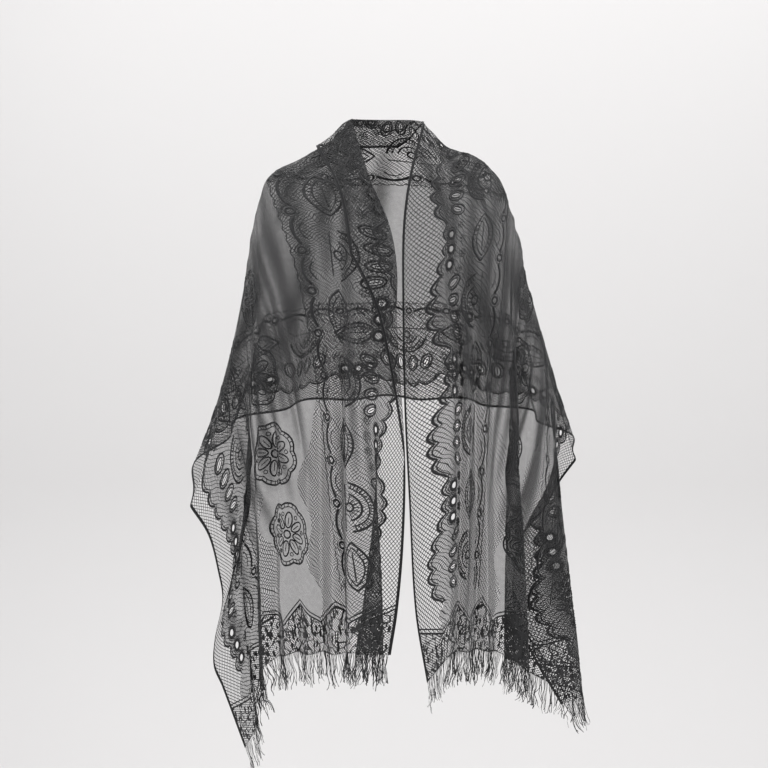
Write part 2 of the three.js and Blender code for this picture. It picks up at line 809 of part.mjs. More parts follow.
const shawl = new THREE.Group();
shawl.add(namedMesh('back', withHoles('back', backGeometry()), LACE_BLACK));
for (const side of ['left', 'right']) {
  const frontPiece = withHoles(`front_${side}`, frontGeometry(side, 'opening', 'arm_fold'));
  const armPiece = withHoles(`arm_${side}`, frontGeometry(side, 'arm_fold', 'corner'));
  shawl.add(namedMesh(`front_${side}`, frontPiece, LACE_BLACK));
  shawl.add(namedMesh(`arm_${side}`, armPiece, LACE_BLACK));
  shawl.add(namedMesh(`fringe_${side}`, fringeGeometry(side), FRINGE_BLACK));
}
shawl.add(namedMesh('collar', fromSolid(toSolid(collarGeometry())), COLLAR_BLACK));

export default shawl;
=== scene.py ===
"""A black lace shawl, worn open round the neck and over both arms.

The cloth is drawn flat: cut, pierced, figured and fringed there. Then it is worn: each flat point moves
to its place on the folded form. Tables and flat drawings are in millimetres, Blender's meshes in metres.
"""

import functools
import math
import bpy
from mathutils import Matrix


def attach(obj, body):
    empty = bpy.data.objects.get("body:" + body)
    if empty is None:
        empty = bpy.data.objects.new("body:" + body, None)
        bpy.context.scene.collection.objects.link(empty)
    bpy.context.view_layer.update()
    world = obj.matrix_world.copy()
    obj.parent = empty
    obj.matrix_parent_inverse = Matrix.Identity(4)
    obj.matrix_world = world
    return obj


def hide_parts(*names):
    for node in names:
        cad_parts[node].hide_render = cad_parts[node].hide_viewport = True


bl_info = {
    "name": "Lace Shawl",
    "version": (1, 0, 0),
    "blender": (4, 5, 0),
    "location": "3D View > Sidebar > Lace Shawl",
    "description": "Makes a fringed black lace shawl in the shape in which it is worn",
    "category": "Add Mesh",
}

from collections import namedtuple

import bpy
import numpy as np
from mathutils import Vector
from mathutils.geometry import delaunay_2d_cdt
from mathutils.kdtree import KDTree

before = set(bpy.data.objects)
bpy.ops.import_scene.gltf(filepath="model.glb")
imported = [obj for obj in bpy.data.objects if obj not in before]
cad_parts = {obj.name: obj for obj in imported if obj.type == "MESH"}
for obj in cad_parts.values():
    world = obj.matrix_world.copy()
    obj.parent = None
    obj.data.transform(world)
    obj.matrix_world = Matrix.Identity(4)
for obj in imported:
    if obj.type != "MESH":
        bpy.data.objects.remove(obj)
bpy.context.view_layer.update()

MM = 0.001
LENGTH = 1900.0
WIDTH = 600.0
COLLAR_WIDTH = 58.0
UV_NAME = "flat cloth"

# Painted shade along the creases: where the cloth is creased it gets more cover, so that it looks darker
# there; fully at this depth.
CREASE_SHADE_NAME = "shaded"
CREASE_SHADE_DEPTH = 3.4

Place = namedtuple("Place", "x y z")
Fold = namedtuple("Fold", "name top start x y z")
Crease = namedtuple("Crease", "u0 v0 u1 v1 depth width")
Strand = namedtuple("Strand", "points width closed")
Band = namedtuple("Band", "radius width sides")
Loop = namedtuple("Loop", "rise half_u half_v width")
Arch = namedtuple("Arch", "radius start stop steps width")
Rays = namedtuple("Rays", "start stop step inner outer width")
Leaf = namedtuple("Leaf", "half bulge width")
Threads = namedtuple("Threads", "pitch share")
Lamp = namedtuple("Lamp", "name place aim width height watts")

# The line on the shoulder and the arm that the cloth hangs from, from the neck to the forearm.
RIDGE = {
    "left": [
        Place(-56, -5, 48),
        Place(-77, 0, 24),
        Place(-97, 2, 8),
        Place(-134, 5, -12),
        Place(-188, 5, -44),
        Place(-207, 0, -101),
        Place(-221, -5, -180),
        Place(-243, -25, -313),
        Place(-262, -40, -400),
        Place(-282, -55, -476),
        Place(-310, -70, -556),
    ],
    "right": [
        Place(56, -5, 42),
        Place(76, 0, 22),
        Place(96, 2, 3),
        Place(143, 5, -11),
        Place(179, 3, -50),
        Place(191, 0, -79),
        Place(208, -4, -140),
        Place(220, -8, -197),
        Place(240, -18, -274),
        Place(264, -35, -372),
        Place(279, -48, -421),
        Place(297, -65, -482),
    ],
}

# The short end of each front, folded: a row for each fold line, from the neck edge to the corner.
# Top is how far along the ridge it starts, and start is where down the front its fold begins to open.
END_FOLDS = {
    "left": [
        Fold("opening", 0, 0.40, 6, -98, -788),
        Fold("under", 10, 0.40, -50, -106, -785),
        Fold("piece_right", 22, 0.40, -6, -134, -773),
        Fold("piece_left", 36, 0.30, -59, -144, -771),
        Fold("behind_piece", 44, 0.25, -64, -108, -781),
        Fold("pleat_1", 58, 0.08, -84, -130, -778),
        Fold("valley_1", 72, 0.08, -102, -96, -783),
        Fold("pleat_2", 88, 0.06, -122, -127, -779),
        Fold("valley_2", 104, 0.06, -141, -92, -785),
        Fold("pleat_3", 122, 0.06, -160, -120, -783),
        Fold("valley_3", 136, 0.06, -172, -82, -795),
        Fold("arm_fold", 160, 0.05, -200, -108, -811),
        Fold("arm_behind", 190, 0.05, -197, -76, -834),
        Fold("arm_pleat", 290, 0.05, -212, -66, -866),
        Fold("arm_outer", 430, 0.05, -209, -82, -908),
        Fold("corner", 704, 0.05, -228, -72, -951),
    ],
    "right": [
        Fold("opening", 0, 0.35, 63, -102, -832),
        Fold("edge_ridge", 40, 0.10, 96, -134, -780),
        Fold("valley_1", 52, 0.10, 111, -96, -783),
        Fold("pleat_1", 66, 0.08, 126, -130, -774),
        Fold("valley_2", 80, 0.06, 141, -90, -781),
        Fold("pleat_2", 100, 0.06, 157, -126, -774),
        Fold("valley_3", 120, 0.06, 174, -92, -785),
        Fold("arm_fold", 170, 0.05, 221, -130, -800),
        Fold("arm_under", 215, 0.05, 187, -72, -800),
        Fold("arm_middle", 320, 0.05, 255, -90, -835),
        Fold("arm_outer", 470, 0.05, 313, -70, -861),
        Fold("corner", 622, 0.05, 282, -42, -889),
    ],
}

# The lines that the main folds and the two long edges follow between the ridge and the short end.
GUIDES = {
    "left": {
        "opening": [
            Place(-26, -62, -43),
            Place(4, -92, -115),
            Place(15, -104, -178),
            Place(15, -108, -257),
            Place(28, -102, -475),
            Place(26, -100, -602),
            Place(17, -100, -714),
        ],
        "piece_left": [
            Place(-58, -70, -60),
            Place(-60, -106, -170),
            Place(-62, -124, -366),
            Place(-61, -138, -560),
        ],
        "arm_fold": [
            Place(-196, -64, -168),
            Place(-199, -98, -381),
            Place(-201, -106, -616),
        ],
        "corner": [
            Place(-282, -72, -601),
            Place(-267, -74, -660),
            Place(-261, -74, -706),
            Place(-274, -74, -771),
            Place(-276, -74, -814),
            Place(-263, -74, -848),
        ],
    },
    "right": {
        "opening": [
            Place(34, -64, -40),
            Place(24, -92, -115),
            Place(23, -106, -220),
            Place(26, -104, -381),
            Place(34, -102, -540),
            Place(44, -102, -714),
        ],
        "edge_ridge": [
            Place(89, -96, -136),
            Place(86, -112, -190),
            Place(98, -122, -301),
            Place(101, -132, -540),
        ],
        "arm_fold": [
            Place(187, -72, -183),
            Place(193, -96, -289),
            Place(205, -118, -519),
            Place(216, -126, -680),
        ],
        "arm_outer": [
            Place(266, -84, -480),
            Place(274, -86, -560),
            Place(298, -78, -744),
        ],
        "corner": [
            Place(273, -52, -520),
            Place(252, -34, -566),
            Place(223, -24, -606),
            Place(207, -20, -655),
            Place(206, -20, -738),
            Place(233, -28, -805),
        ],
    },
}

# The middle of the back, from the nape to the long edge at the waist.
SPINE = [
    Place(0, 60, 48),
    Place(0, 76, 5),
    Place(0, 98, -75),
    Place(0, 106, -180),
    Place(0, 104, -300),
    Place(0, 98, -408),
]

# How far the ridge lies along the flat cloth from its middle, by its share of the ridge's length.
RIDGE_SHARES = [0, 0.24, 0.57, 1]
RIDGE_ALONG = [105, 225, 400, 495]

# The width of the turned-over strip down the left front.
TAPER_DOWN = [0, 0.28, 0.38, 0.52, 0.66]
TAPER_SHARE = [1, 0.9, 0.56, 0.25, 0]

# Where along the cloth the collar begins and ends, how soon its strip fades in behind the right side of
# the neck, and how its edge rolls over and lies above the cloth.
COLLAR_START = -662.0
COLLAR_END = 88.0
COLLAR_FADE = 0.9
ROLL_REACH = 2.5
ROLL_RISE = 1.5
COLLAR_LIFT = 4.5
COLLAR_LIFT_REACH = 14.0

BACK_WAVES = 7
BACK_WAVE_DEPTH = 22
BACK_WAVE_GROWTH = 1.1
BACK_WAVE_DRIFT = (0.8, 3)
SWAG_DEPTH = 5
SWAGS = 4
SWAG_BOW = 0.9
SWAG_END = 0.625
BACK_HEM_CURVE = 2.6

# Soft troughs and ridges placed on the flat cloth: from (u0, v0) to (u1, v1), depth out of it.
CREASES = [
    Crease(-150, 95, -420, 118, 3.2, 9),
    Crease(-165, 122, -380, 150, -3.0, 8),
    Crease(-180, 160, -460, 178, 3.6, 11),
    Crease(-210, 205, -520, 214, -3.2, 10),
    Crease(-260, 262, -600, 250, 3.0, 12),
    Crease(-330, 330, -700, 318, -3.5, 13),
    Crease(-420, 402, -760, 372, 3.6, 12),
    Crease(-470, 470, -820, 452, -3.4, 14),
    Crease(-500, 540, -870, 520, 3.0, 13),
    Crease(-520, 90, -800, 84, -1.8, 8),
    Crease(-560, 150, -900, 160, 2.2, 9),
    Crease(150, 60, 390, 74, 3.2, 8),
    Crease(165, 100, 430, 112, -3.0, 9),
    Crease(190, 146, 520, 150, 3.4, 10),
    Crease(230, 196, 600, 190, -3.4, 11),
    Crease(270, 250, 560, 248, 3.0, 12),
    Crease(340, 320, 720, 310, -3.6, 13),
    Crease(420, 400, 800, 380, 3.4, 12),
    Crease(480, 480, 840, 470, -3.0, 14),
    Crease(500, 545, 900, 540, 2.8, 12),
    Crease(560, 60, 860, 66, 1.8, 8),
    Crease(620, 140, 920, 132, -2.2, 9),
    Crease(-60, 90, -190, 260, 3.6, 12),
    Crease(-30, 85, -120, 300, -3.0, 11),
    Crease(0, 95, -20, 330, 2.6, 12),
    Crease(40, 88, 110, 290, -3.2, 12),
    Crease(70, 84, 210, 270, 3.4, 11),
    Crease(-240, 260, -380, 520, -4.0, 15),
    Crease(-150, 300, -230, 560, 3.0, 14),
    Crease(150, 280, 240, 570, -3.2, 15),
    Crease(250, 270, 390, 510, 3.6, 14),
    Crease(240, 214, 760, 206, 3.2, 6),
    Crease(260, 230, 700, 226, -3.2, 6),
    Crease(285, 268, 780, 244, 3.4, 7),
    Crease(330, 290, 740, 262, -3.0, 6),
    Crease(350, 342, 800, 282, 3.2, 7),
    Crease(400, 372, 770, 300, -3.0, 6),
    Crease(430, 430, 820, 344, 3.0, 7),
    Crease(-250, 232, -690, 226, 3.2, 6),
    Crease(-280, 246, -640, 240, -3.2, 6),
    Crease(-300, 292, -720, 276, 3.2, 7),
    Crease(-350, 318, -700, 296, -3.0, 6),
    Crease(-380, 366, -780, 340, 3.2, 7),
    Crease(-440, 436, -800, 400, -3.0, 7),
    Crease(-120, 62, -300, 76, 2.4, 7),
    Crease(110, 20, 300, 30, 2.2, 7),
    Crease(300, 96, 640, 104, 2.6, 8),
    Crease(-340, 106, -690, 110, 2.6, 8),
]

# How fast a crease fades in at its two ends.
CREASE_POWER = 0.7

# The lace border: its repeat, and where its parts lie between the selvage and the plain field.
REPEAT = 190.0
REPEATS = 9
SELVAGE = 4.0
FIELD = 188.0
FIELD_GROWTH = 62.0
FIELD_GROWS_AFTER = 540.0
FIELD_GROWS_OVER = 170.0
FIELD_WAVE = 0.2
FIELD_WAVE_LENGTH = 19
RING_US = [18, 42, 66]
RING_V = 62.0
LOOP_MIDDLE = 132.0
LOOP_PLACES = [-1.5, -0.5, 0.5, 1.5]
LOOP_SPACING = 25.0
LOOP_V = 70.0
LOOP_DROP = 2.0
LOOP_LEAN = 0.25
SCALLOP_US = [-6, 6, 30, 54, 80, 107, 132, 157, 184, 196]
SCALLOP_VS = [50, 50, 52, 50, 44, 37, 34, 37, 44, 50]
SCALLOP_DEPTH = 9.0
SCALLOP_STEP = 2.5
SCALLOP_THREADS = [(0, 3.2), (4.6, 1.7)]
LEAST_LOBE = 15
LOBE_POWER = 0.75
END_LINE = 874.0
END_ZIGZAG = 30.0
END_PITCH = 100.0

# How often the search for a flat place halves its range.
HALVINGS = 22

# How many points each part of an outline has.
SIDE_POINTS = 140
NAPE_POINTS = 60
FOLD_POINTS = 240
SEAM_POINTS = 200
RIDGE_POINTS = 90
NECK_POINTS = 220

# The flat mesh: the steps of its lines and its least gaps, as shares of the mesh step, how far a hole
# reaches from its middle, and the smallest doubled area of a triangle that is kept.
LINE_STEP = 0.8
LEAST_GAP = 0.6
HOLE_REACH = 12
LEAST_DOUBLED_AREA = 1e-3

# The grounds of the lace, and the pitch of their threads with the share of it that a thread covers.
ZONES = ["selvage", "net", "figured", "sheer", "leafy"]
NET_THREADS = Threads(7.2, 0.2)
NET_SLANT = 1.5
BARS = Threads(4.2, 0.27)
TIES = Threads(7.4, 0.17)
LEAFY_THREADS = Threads(4.4, 0.24)
SELVAGE_RUNGS = Threads(2.4, 0.75)
TWIST = Threads(1.1, 0.6)
BAR_DRIFT = 16
RIB_PITCH = 1.3
THREAD_COVER = 0.97
LEAF_LEANS = [-35, 40]
LEAF_SHAPE = (0.5, 1.25, 1)

# The figures of one repeat, all in millimetres on the flat cloth: rings, loops and small flowers.
RING_HOLE = 4.5
RING_BANDS = [Band(7.3, 5.0, 16), Band(11.2, 1.5, 16)]
LOOP_HOLE = (3.0, 8.5)
LOOP_OVALS = [Loop(1, 8.6, 14.6, 3.2), Loop(0, 4.3, 9.9, 2.0)]
LOOP_STEM = 6.5
LOOP_STEM_WIDTH = 1.6
SMALL_FLOWERS = [(6, 84), (30, 88), (54, 88), (78, 84)]
SMALL_PETALS = 5
SMALL_PETAL_OUT = 4.4
SMALL_PETAL = Band(2.5, 1.2, 8)

# The shell: arches about its middle, rays between them, a ring and a foot.
SHELL = (132.0, 130.0)
SHELL_ARCHES = [Arch(38, -172, -8, 22, 3.4), Arch(30, -168, -12, 20, 2.0), Arch(21, -165, -15, 16, 3.0)]
SHELL_RAYS = [Rays(-162, -17, 8.0, 30, 38, 1.7), Rays(-156, -23, 22.0, 10, 18, 1.6)]
SHELL_RING = Band(6.5, 3.2, 12)
SHELL_RING_DROP = 4
SHELL_FOOT = 36
SHELL_FOOT_RISE = 7
VEIN_WIDTH = 2.2
RUNG_WIDTH = 1.6
FINE_WIDTH = 1.5

# The leaf: an outer and an inner line on each side, rungs between them and a vein.
LEAF = (40.0, 130.0)
LEAF_LINES = [Leaf(38, 20, 3.2), Leaf(30, 12, 2.0)]
LEAF_STEPS = np.linspace(-1, 1, 15)
LEAF_RUNGS = np.linspace(-0.75, 0.75, 9)
LEAF_VEIN = 22

# The inner edge of the border: a fine wave, small rings and crescents.
WAVE_STEP = 3.8
WAVE_LENGTH = 19
WAVE_DEPTH = 3
INNER_RING_V = 172
INNER_BANDS = [Band(5.2, 3.6, 12), Band(9.4, 1.3, 14)]
CRESCENTS = [(138, Arch(39, 56, 124, 12, 4.6)), (150, Arch(18, 40, 140, 10, 2.0))]

# The round flower of the plain field: a middle, two lobed rings with rungs, petals and small rings.
FLOWERS = 4
FLOWER_START = 390
FLOWER_SPACING = 125
FLOWER_MIDDLE = Band(6.2, 3.0, 12)
FLOWER_RINGS = [(45, 3.0), (39, 1.6)]
FLOWER_STEPS = 64
FLOWER_LOBE = 5
FLOWER_RUNGS = 40
FLOWER_PETALS = 8
FLOWER_PETAL_OUT = 23
FLOWER_PETAL = (12.5, 6.4)
FLOWER_PETAL_WIDTH = 2.6
FLOWER_VEIN = (14, 27)
FLOWER_SMALL_OUT = 32
FLOWER_SMALL = Band(3.0, 1.6, 8)

# The figures of a short end: petals at the zigzag's tips and small rings between them.
RIBBON_THREADS = [(0, 2.6), (6.5, 2.0)]
RIBBON_STEPS = 120
END_PETAL_LEANS = [-0.9, 0, 0.9]
END_PETAL_OUT = 11
END_PETAL_START = 4
END_PETAL = (8.5, 4.2)
END_PETAL_WIDTH = 1.8
END_RING_OFFSETS = [-34, 34]
END_RINGS = [(-2, Band(4.5, 1.8, 10)), (16, Band(3.2, 1.6, 10))]

# The firm line of a long edge: two threads, by how far each lies from the edge and how wide it is.
EDGE_THREADS = [(0.8, 1.8), (4.0, 1.1)]

# The loose strands of the fringe. Lengths and turns are their least and most; the swing grows to its tip.
FRINGE_MARGIN = 2.0
FRINGE_SEEDS = [(11, "left"), (23, "right")]
STRAND_POINTS = 11
STRAND_SIDES = 4
STRAND_LENGTHS = (0.66, 1.16)
STRAND_TURNS = ((0, -0.16, -0.2), (0, 0.16, 0.2))
STRAND_SWING = 26
STRAND_DRIFT = 0.045

# The backdrop, in metres: a floor from in front of the shawl that bends up into a wall behind it.
FLOOR_START = -5.0
FLOOR_Z = -2.3
FLOOR_BEND = 1.0
BEND_STEPS = 12
WALL_Y = 3.8
WALL_TOP = 5.0
BACKDROP_HALF = 7.0
SENSOR_WIDTH = 36

LAMPS = [
    Lamp("key light", (1.7, -2.4, 1.9), (0, 0, -0.35), 1.4, 1.4, 78),
    Lamp("fill light", (-2.6, -1.6, 0.9), (0, 0, -0.4), 1.6, 2.0, 42),
    Lamp("wall light", (1.2, 1.2, 3.2), (0.8, 3.8, -0.4), 5.0, 1.2, 110),
    Lamp("back light", (-2.4, 2.4, 1.8), (0, 0, -0.3), 1.4, 1.4, 40),
]


def smooth(t):
    return t * t * (3 - 2 * t)


def knots_of(rows):
    """The rows' places and their shares of the length along them."""
    places = np.array([(row.x, row.y, row.z) for row in rows], float)
    steps = np.linalg.norm(np.diff(places, axis=0), axis=1)
    return np.concatenate([[0], np.cumsum(steps)]) / steps.sum(), places


def follow(line, share):
    """The smooth curve through a line's places, at each share of its length."""
    knots, places = line
    slopes = np.empty_like(places)
    slopes[1:-1] = (places[2:] - places[:-2]) / (knots[2:] - knots[:-2])[:, None]
    slopes[0] = (places[1] - places[0]) / (knots[1] - knots[0])
    slopes[-1] = (places[-1] - places[-2]) / (knots[-1] - knots[-2])
    i = np.clip(np.searchsorted(knots, share, side="right") - 1, 0, len(knots) - 2)
    span = (knots[i + 1] - knots[i])[:, None]
    w = (share[:, None] - knots[i][:, None]) / span
    w2, w3 = w * w, w * w * w
    return (
        (2 * w3 - 3 * w2 + 1) * places[i]
        + (w3 - 2 * w2 + w) * span * slopes[i]
        + (3 * w2 - 2 * w3) * places[i + 1]
        + (w3 - w2) * span * slopes[i + 1]
    )


def ridge_along(share):
    return np.interp(share, RIDGE_SHARES, RIDGE_ALONG)


def turned(u):
    """How wide the cloth is turned over beyond its fold at the neck, at each place along it."""
    start = RIDGE_ALONG[0]
    down = (np.abs(u) - start) / (LENGTH / 2 - start)
    behind = smooth(np.clip((1 - u / start) / COLLAR_FADE, 0, 1))
    before = np.interp(down, TAPER_DOWN, TAPER_SHARE)
    return COLLAR_WIDTH * np.where(np.abs(u) <= start, behind, np.where(u < 0, before, 0))


class Front:
    """One front and its arm, from the ridge (down 0) to the short end (down 1), and from the neck edge
    (across 0) to the outer long edge (across 1)."""

    def __init__(self, side):
        folds = END_FOLDS[side]
        self.sign = -1 if side == "left" else 1
        self.neck = COLLAR_WIDTH if side == "left" else 0
        self.ridge = knots_of(RIDGE[side])
        self.end = knots_of(folds)
        self.knots = self.end[0]
        reach = np.linalg.norm(np.diff(self.ridge[1], axis=0), axis=1).sum()
        self.tops = np.clip([fold.top / reach for fold in folds], 0, 1)
        self.starts = [fold.start for fold in folds]
        self.names = [fold.name for fold in folds]
        self.guides = []
        for name, through in GUIDES[side].items():
            across = self.across_of(name)
            here = np.array([across])
            first = follow(self.ridge, self.top_at(here))[0]
            last = follow(self.end, here)[0]
            rows = [Place(*first), *through, Place(*last)]
            self.guides.append((across, knots_of(rows)))

    def across_of(self, name):
        return self.knots[self.names.index(name)]

    def top_at(self, across):
        return np.interp(across, self.knots, self.tops)

    def plain(self, across, down):
        top = follow(self.ridge, self.top_at(across))
        first, last = self.end[1][0], self.end[1][-1]
        mean = first + (last - first) * across[:, None]
        fold = follow(self.end, across) - mean
        start = np.interp(across, self.knots, self.starts)
        opened = np.clip((down - start) / (1 - start), 0, 1)
        opened = (opened + smooth(opened)) / 2
        share = np.stack([down, 1 - (1 - down) ** 3, down], axis=1)
        return top + (mean - top) * share + fold * opened[:, None]

    def place(self, across, down):
        places = np.array([guide[0] for guide in self.guides])
        shifts = np.stack([
            follow(line, down) - self.plain(np.full_like(down, at), down)
            for at, line in self.guides
        ])
        i = np.clip(np.searchsorted(places, across, side="right") - 1, 0, len(places) - 2)
        w = smooth(np.clip((across - places[i]) / (places[i + 1] - places[i]), 0, 1))[:, None]
        row = np.arange(len(across))
        return self.plain(across, down) + shifts[i, row] * (1 - w) + shifts[i + 1, row] * w

    def flat_v(self, across, down):
        top = self.top_at(across)
        if self.sign < 0:
            strip = COLLAR_WIDTH * np.interp(down, TAPER_DOWN, TAPER_SHARE)
        else:
            strip = np.zeros_like(down)
        bent = strip - self.neck * (1 - down)
        ridge_v = self.neck + (WIDTH - self.neck) * top
        return ridge_v + (WIDTH * across - ridge_v) * down + bent * (1 - across) ** 3

    def flat_u(self, across, down):
        top = ridge_along(self.top_at(across))
        return self.sign * (top + (LENGTH / 2 - top) * down)

    def down_at(self, across, u):
        top = ridge_along(self.top_at(across))
        return np.clip((np.abs(u) - top) / (LENGTH / 2 - top), 0, 1)

    def from_flat(self, u, v):
        across = halved(lambda t: self.flat_v(t, self.down_at(t, u)), v)
        return self.place(across, self.down_at(across, u))


def halved(reached, target):
    """Where a rising function reaches the target, between 0 and 1, for each value."""
    low = np.zeros_like(target)
    high = np.ones_like(target)
    for _ in range(HALVINGS):
        middle = (low + high) / 2
        below = reached(middle) < target
        low = np.where(below, middle, low)
        high = np.where(below, high, middle)
    return (low + high) / 2


@functools.cache
def front(side):
    return Front(side)


def back_place(turn, down):
    """The back, from the left ridge (turn -1) to the right one, and from the nape (down 0) to the waist."""
    left = follow(front("left").ridge, down)
    right = follow(front("right").ridge, down)
    edge = np.where((turn < 0)[:, None], left, right)
    middle = follow(knots_of(SPINE), down)
    reach = np.abs(turn)
    angle = reach * math.pi / 2
    fade = (1 - reach**4) * down**BACK_WAVE_GROWTH
    drift = BACK_WAVE_DRIFT[0] * np.sin(turn * BACK_WAVE_DRIFT[1])
    wave = BACK_WAVE_DEPTH * fade * np.cos(turn * math.pi * BACK_WAVES + drift)
    swag_fade = np.sin(math.pi * np.clip(down / SWAG_END, 0, 1)) * (1 - reach**2) ** 2
    swag = SWAG_DEPTH * swag_fade * np.sin(2 * math.pi * (down * SWAGS + SWAG_BOW * (1 - reach**2)))
    folds = wave + swag
    return np.stack([
        (edge[:, 0] + np.sign(turn) * folds) * np.sin(angle),
        edge[:, 1] + (middle[:, 1] - edge[:, 1]) * np.cos(angle) + folds * np.cos(angle),
        middle[:, 2] + (edge[:, 2] - middle[:, 2]) * reach**BACK_HEM_CURVE,
    ], axis=1)


def back_from_flat(u, v):
    def turn_at(down):
        return np.clip(u / ridge_along(down), -1, 1)

    def reached(down):
        strip = COLLAR_WIDTH * smooth(np.clip((1 - turn_at(down)) / COLLAR_FADE, 0, 1))
        return strip + (WIDTH - strip) * down

    down = halved(reached, v)
    return back_place(turn_at(down), down)


class Worn:
    """Where each place on the flat cloth lies when it is worn, as a table of even steps along the cloth
    and between the fold at the neck and the outer long edge."""

    STEPS_U = 951
    STEPS_V = 301
    END_STEPS = 6
    END_FALL = 0.35

    def __init__(self):
        us = np.linspace(-LENGTH / 2, LENGTH / 2, self.STEPS_U)
        shares = np.linspace(0, 1, self.STEPS_V)
        u = np.repeat(us, self.STEPS_V)
        edge = turned(u)
        v = edge + (WIDTH - edge) * np.tile(shares, self.STEPS_U)
        places = np.empty((len(u), 3))
        rest = np.ones(len(u), bool)
        for side in ("left", "right"):
            here = (u < 0) if side == "left" else (u >= 0)
            neck = front(side).neck
            share = np.clip((v - neck) / (WIDTH - neck), 0, 1)
            before = here & (np.abs(u) > ridge_along(share))
            places[before] = front(side).from_flat(u[before], v[before])
            rest &= ~before
        places[rest] = back_from_flat(u[rest], v[rest])
        self.places = places.reshape(self.STEPS_U, self.STEPS_V, 3)
        self.out = self.way_out()
        depth = crease_depth(u, v).reshape(self.STEPS_U, self.STEPS_V, 1)
        self.places = self.places + self.out * depth
        self.out = self.way_out()
        self.ends = self.way_on()

    def way_out(self):
        along = np.gradient(self.places, axis=0)
        across = np.gradient(self.places, axis=1)
        out = np.cross(along, across)
        return out / np.maximum(np.linalg.norm(out, axis=2, keepdims=True), 1e-9)

    def way_on(self):
        """The way that the cloth would run on beyond its left and right short end."""
        ways = []
        for last, inward in ((0, 1), (-1, -1)):
            way = self.places[last] - self.places[last + inward * self.END_STEPS]
            way = way / np.linalg.norm(way, axis=1, keepdims=True)
            way[:, 2] -= self.END_FALL
            ways.append(way / np.linalg.norm(way, axis=1, keepdims=True))
        return ways

    def look_up(self, table, i, j):
        i0 = np.clip(i.astype(int), 0, self.STEPS_U - 2)
        j0 = np.clip(j.astype(int), 0, self.STEPS_V - 2)
        a = (i - i0)[:, None]
        b = (j - j0)[:, None]
        near = table[i0, j0] * (1 - b) + table[i0, j0 + 1] * b
        far = table[i0 + 1, j0] * (1 - b) + table[i0 + 1, j0 + 1] * b
        return near * (1 - a) + far * a

    def __call__(self, flat):
        """Flat places as u, v and height above the cloth, in millimetres, to places in metres."""
        u, v, height = flat[:, 0], flat[:, 1], flat[:, 2]
        half = LENGTH / 2
        on_cloth = np.clip(u, -half, half)
        edge = turned(on_cloth)
        w = edge - v
        over = w > 0
        from_fold = np.abs(v - edge)
        i = (on_cloth + half) / LENGTH * (self.STEPS_U - 1)
        j = np.clip(from_fold / (WIDTH - edge), 0, 1) * (self.STEPS_V - 1)
        place = self.look_up(self.places, i, j)
        out = self.look_up(self.out, i, j)
        out = out / np.linalg.norm(out, axis=1, keepdims=True)
        rolled = np.sqrt(1 - (1 - np.clip(w / ROLL_REACH, 0, 1)) ** 2)
        lifted = smooth(np.clip(w / COLLAR_LIFT_REACH, 0, 1))
        above = ROLL_RISE * rolled + COLLAR_LIFT * lifted - height
        place = place + out * np.where(over, above, height)[:, None]
        for way, beyond in ((self.ends[0], -half - u), (self.ends[1], u - half)):
            past = np.clip(beyond, 0, None)
            if past.any():
                on = self.look_up(np.broadcast_to(way, self.places.shape), i, j)
                place = place + on * past[:, None]
        return place * MM


def crease_depth(u, v):
    """How far the listed creases stand out of the cloth at each flat place."""
    depth = np.zeros_like(u)
    for row in CREASES:
        start = np.array([row.u0, row.v0], float)
        way = np.array([row.u1, row.v1], float) - start
        t = ((u - start[0]) * way[0] + (v - start[1]) * way[1]) / way.dot(way)
        on = np.clip(t, 0, 1)
        off = np.hypot(u - start[0] - on * way[0], v - start[1] - on * way[1])
        ends = np.sin(math.pi * on) ** CREASE_POWER
        depth += row.depth * ends * np.exp(-((off / row.width) ** 2))
    return depth


@functools.cache
def worn():
    return Worn()


def scallop(u):
    """The lobed line between the net and the figures, as its distance from the selvage."""
    place = (u + REPEATS * REPEAT / 2) % REPEAT
    knots = np.array(SCALLOP_US, float)
    i = np.clip(np.searchsorted(knots, place, side="right") - 1, 0, len(knots) - 2)
    t = (place - knots[i]) / (knots[i + 1] - knots[i])
    values = np.array(SCALLOP_VS, float)
    level = values[i] + (values[i + 1] - values[i]) * t
    wide = (knots[i + 1] - knots[i]) > LEAST_LOBE
    lobe = np.where(wide, np.sin(math.pi * t) ** LOBE_POWER, 0)
    return level - SCALLOP_DEPTH * lobe


def end_line(v):
    """The zigzag near each short end, as its distance from the middle of the cloth."""
    return END_LINE + END_ZIGZAG * (1 - 2 * np.abs((v / END_PITCH) % 1 - 0.5))


def field_line(u):
    """The edge of the plain field, as its distance from the selvage; the field narrows to the ends."""
    wide = FIELD_GROWTH * smooth(np.clip((np.abs(u) - FIELD_GROWS_AFTER) / FIELD_GROWS_OVER, 0, 1))
    return FIELD + wide * (1 + FIELD_WAVE * np.sin(u / FIELD_WAVE_LENGTH))


def zone_at(u, v):
    """Which ground of the lace covers each flat place, as an index into ZONES."""
    edge = np.minimum(v, WIDTH - v)
    zone = np.full(len(u), ZONES.index("sheer"))
    zone[edge < field_line(u)] = ZONES.index("figured")
    zone[edge < scallop(u)] = ZONES.index("net")
    zone[np.abs(u) > end_line(v)] = ZONES.index("leafy")
    zone[edge < SELVAGE] = ZONES.index("selvage")
    return zone


def around(u, v, radius, angles):
    return np.stack([u + radius * np.cos(angles), v + radius * np.sin(angles)], axis=1)


def circle(u, v, radius, sides):
    return around(u, v, radius, np.arange(sides) * 2 * math.pi / sides)


def oval(u, v, half_u, half_v, lean, sides):
    angles = np.arange(sides) * 2 * math.pi / sides
    a, b = half_u * np.cos(angles), half_v * np.sin(angles)
    return np.stack([
        u + a * math.cos(lean) + b * math.sin(lean),
        v + b * math.cos(lean) - a * math.sin(lean),
    ], axis=1)


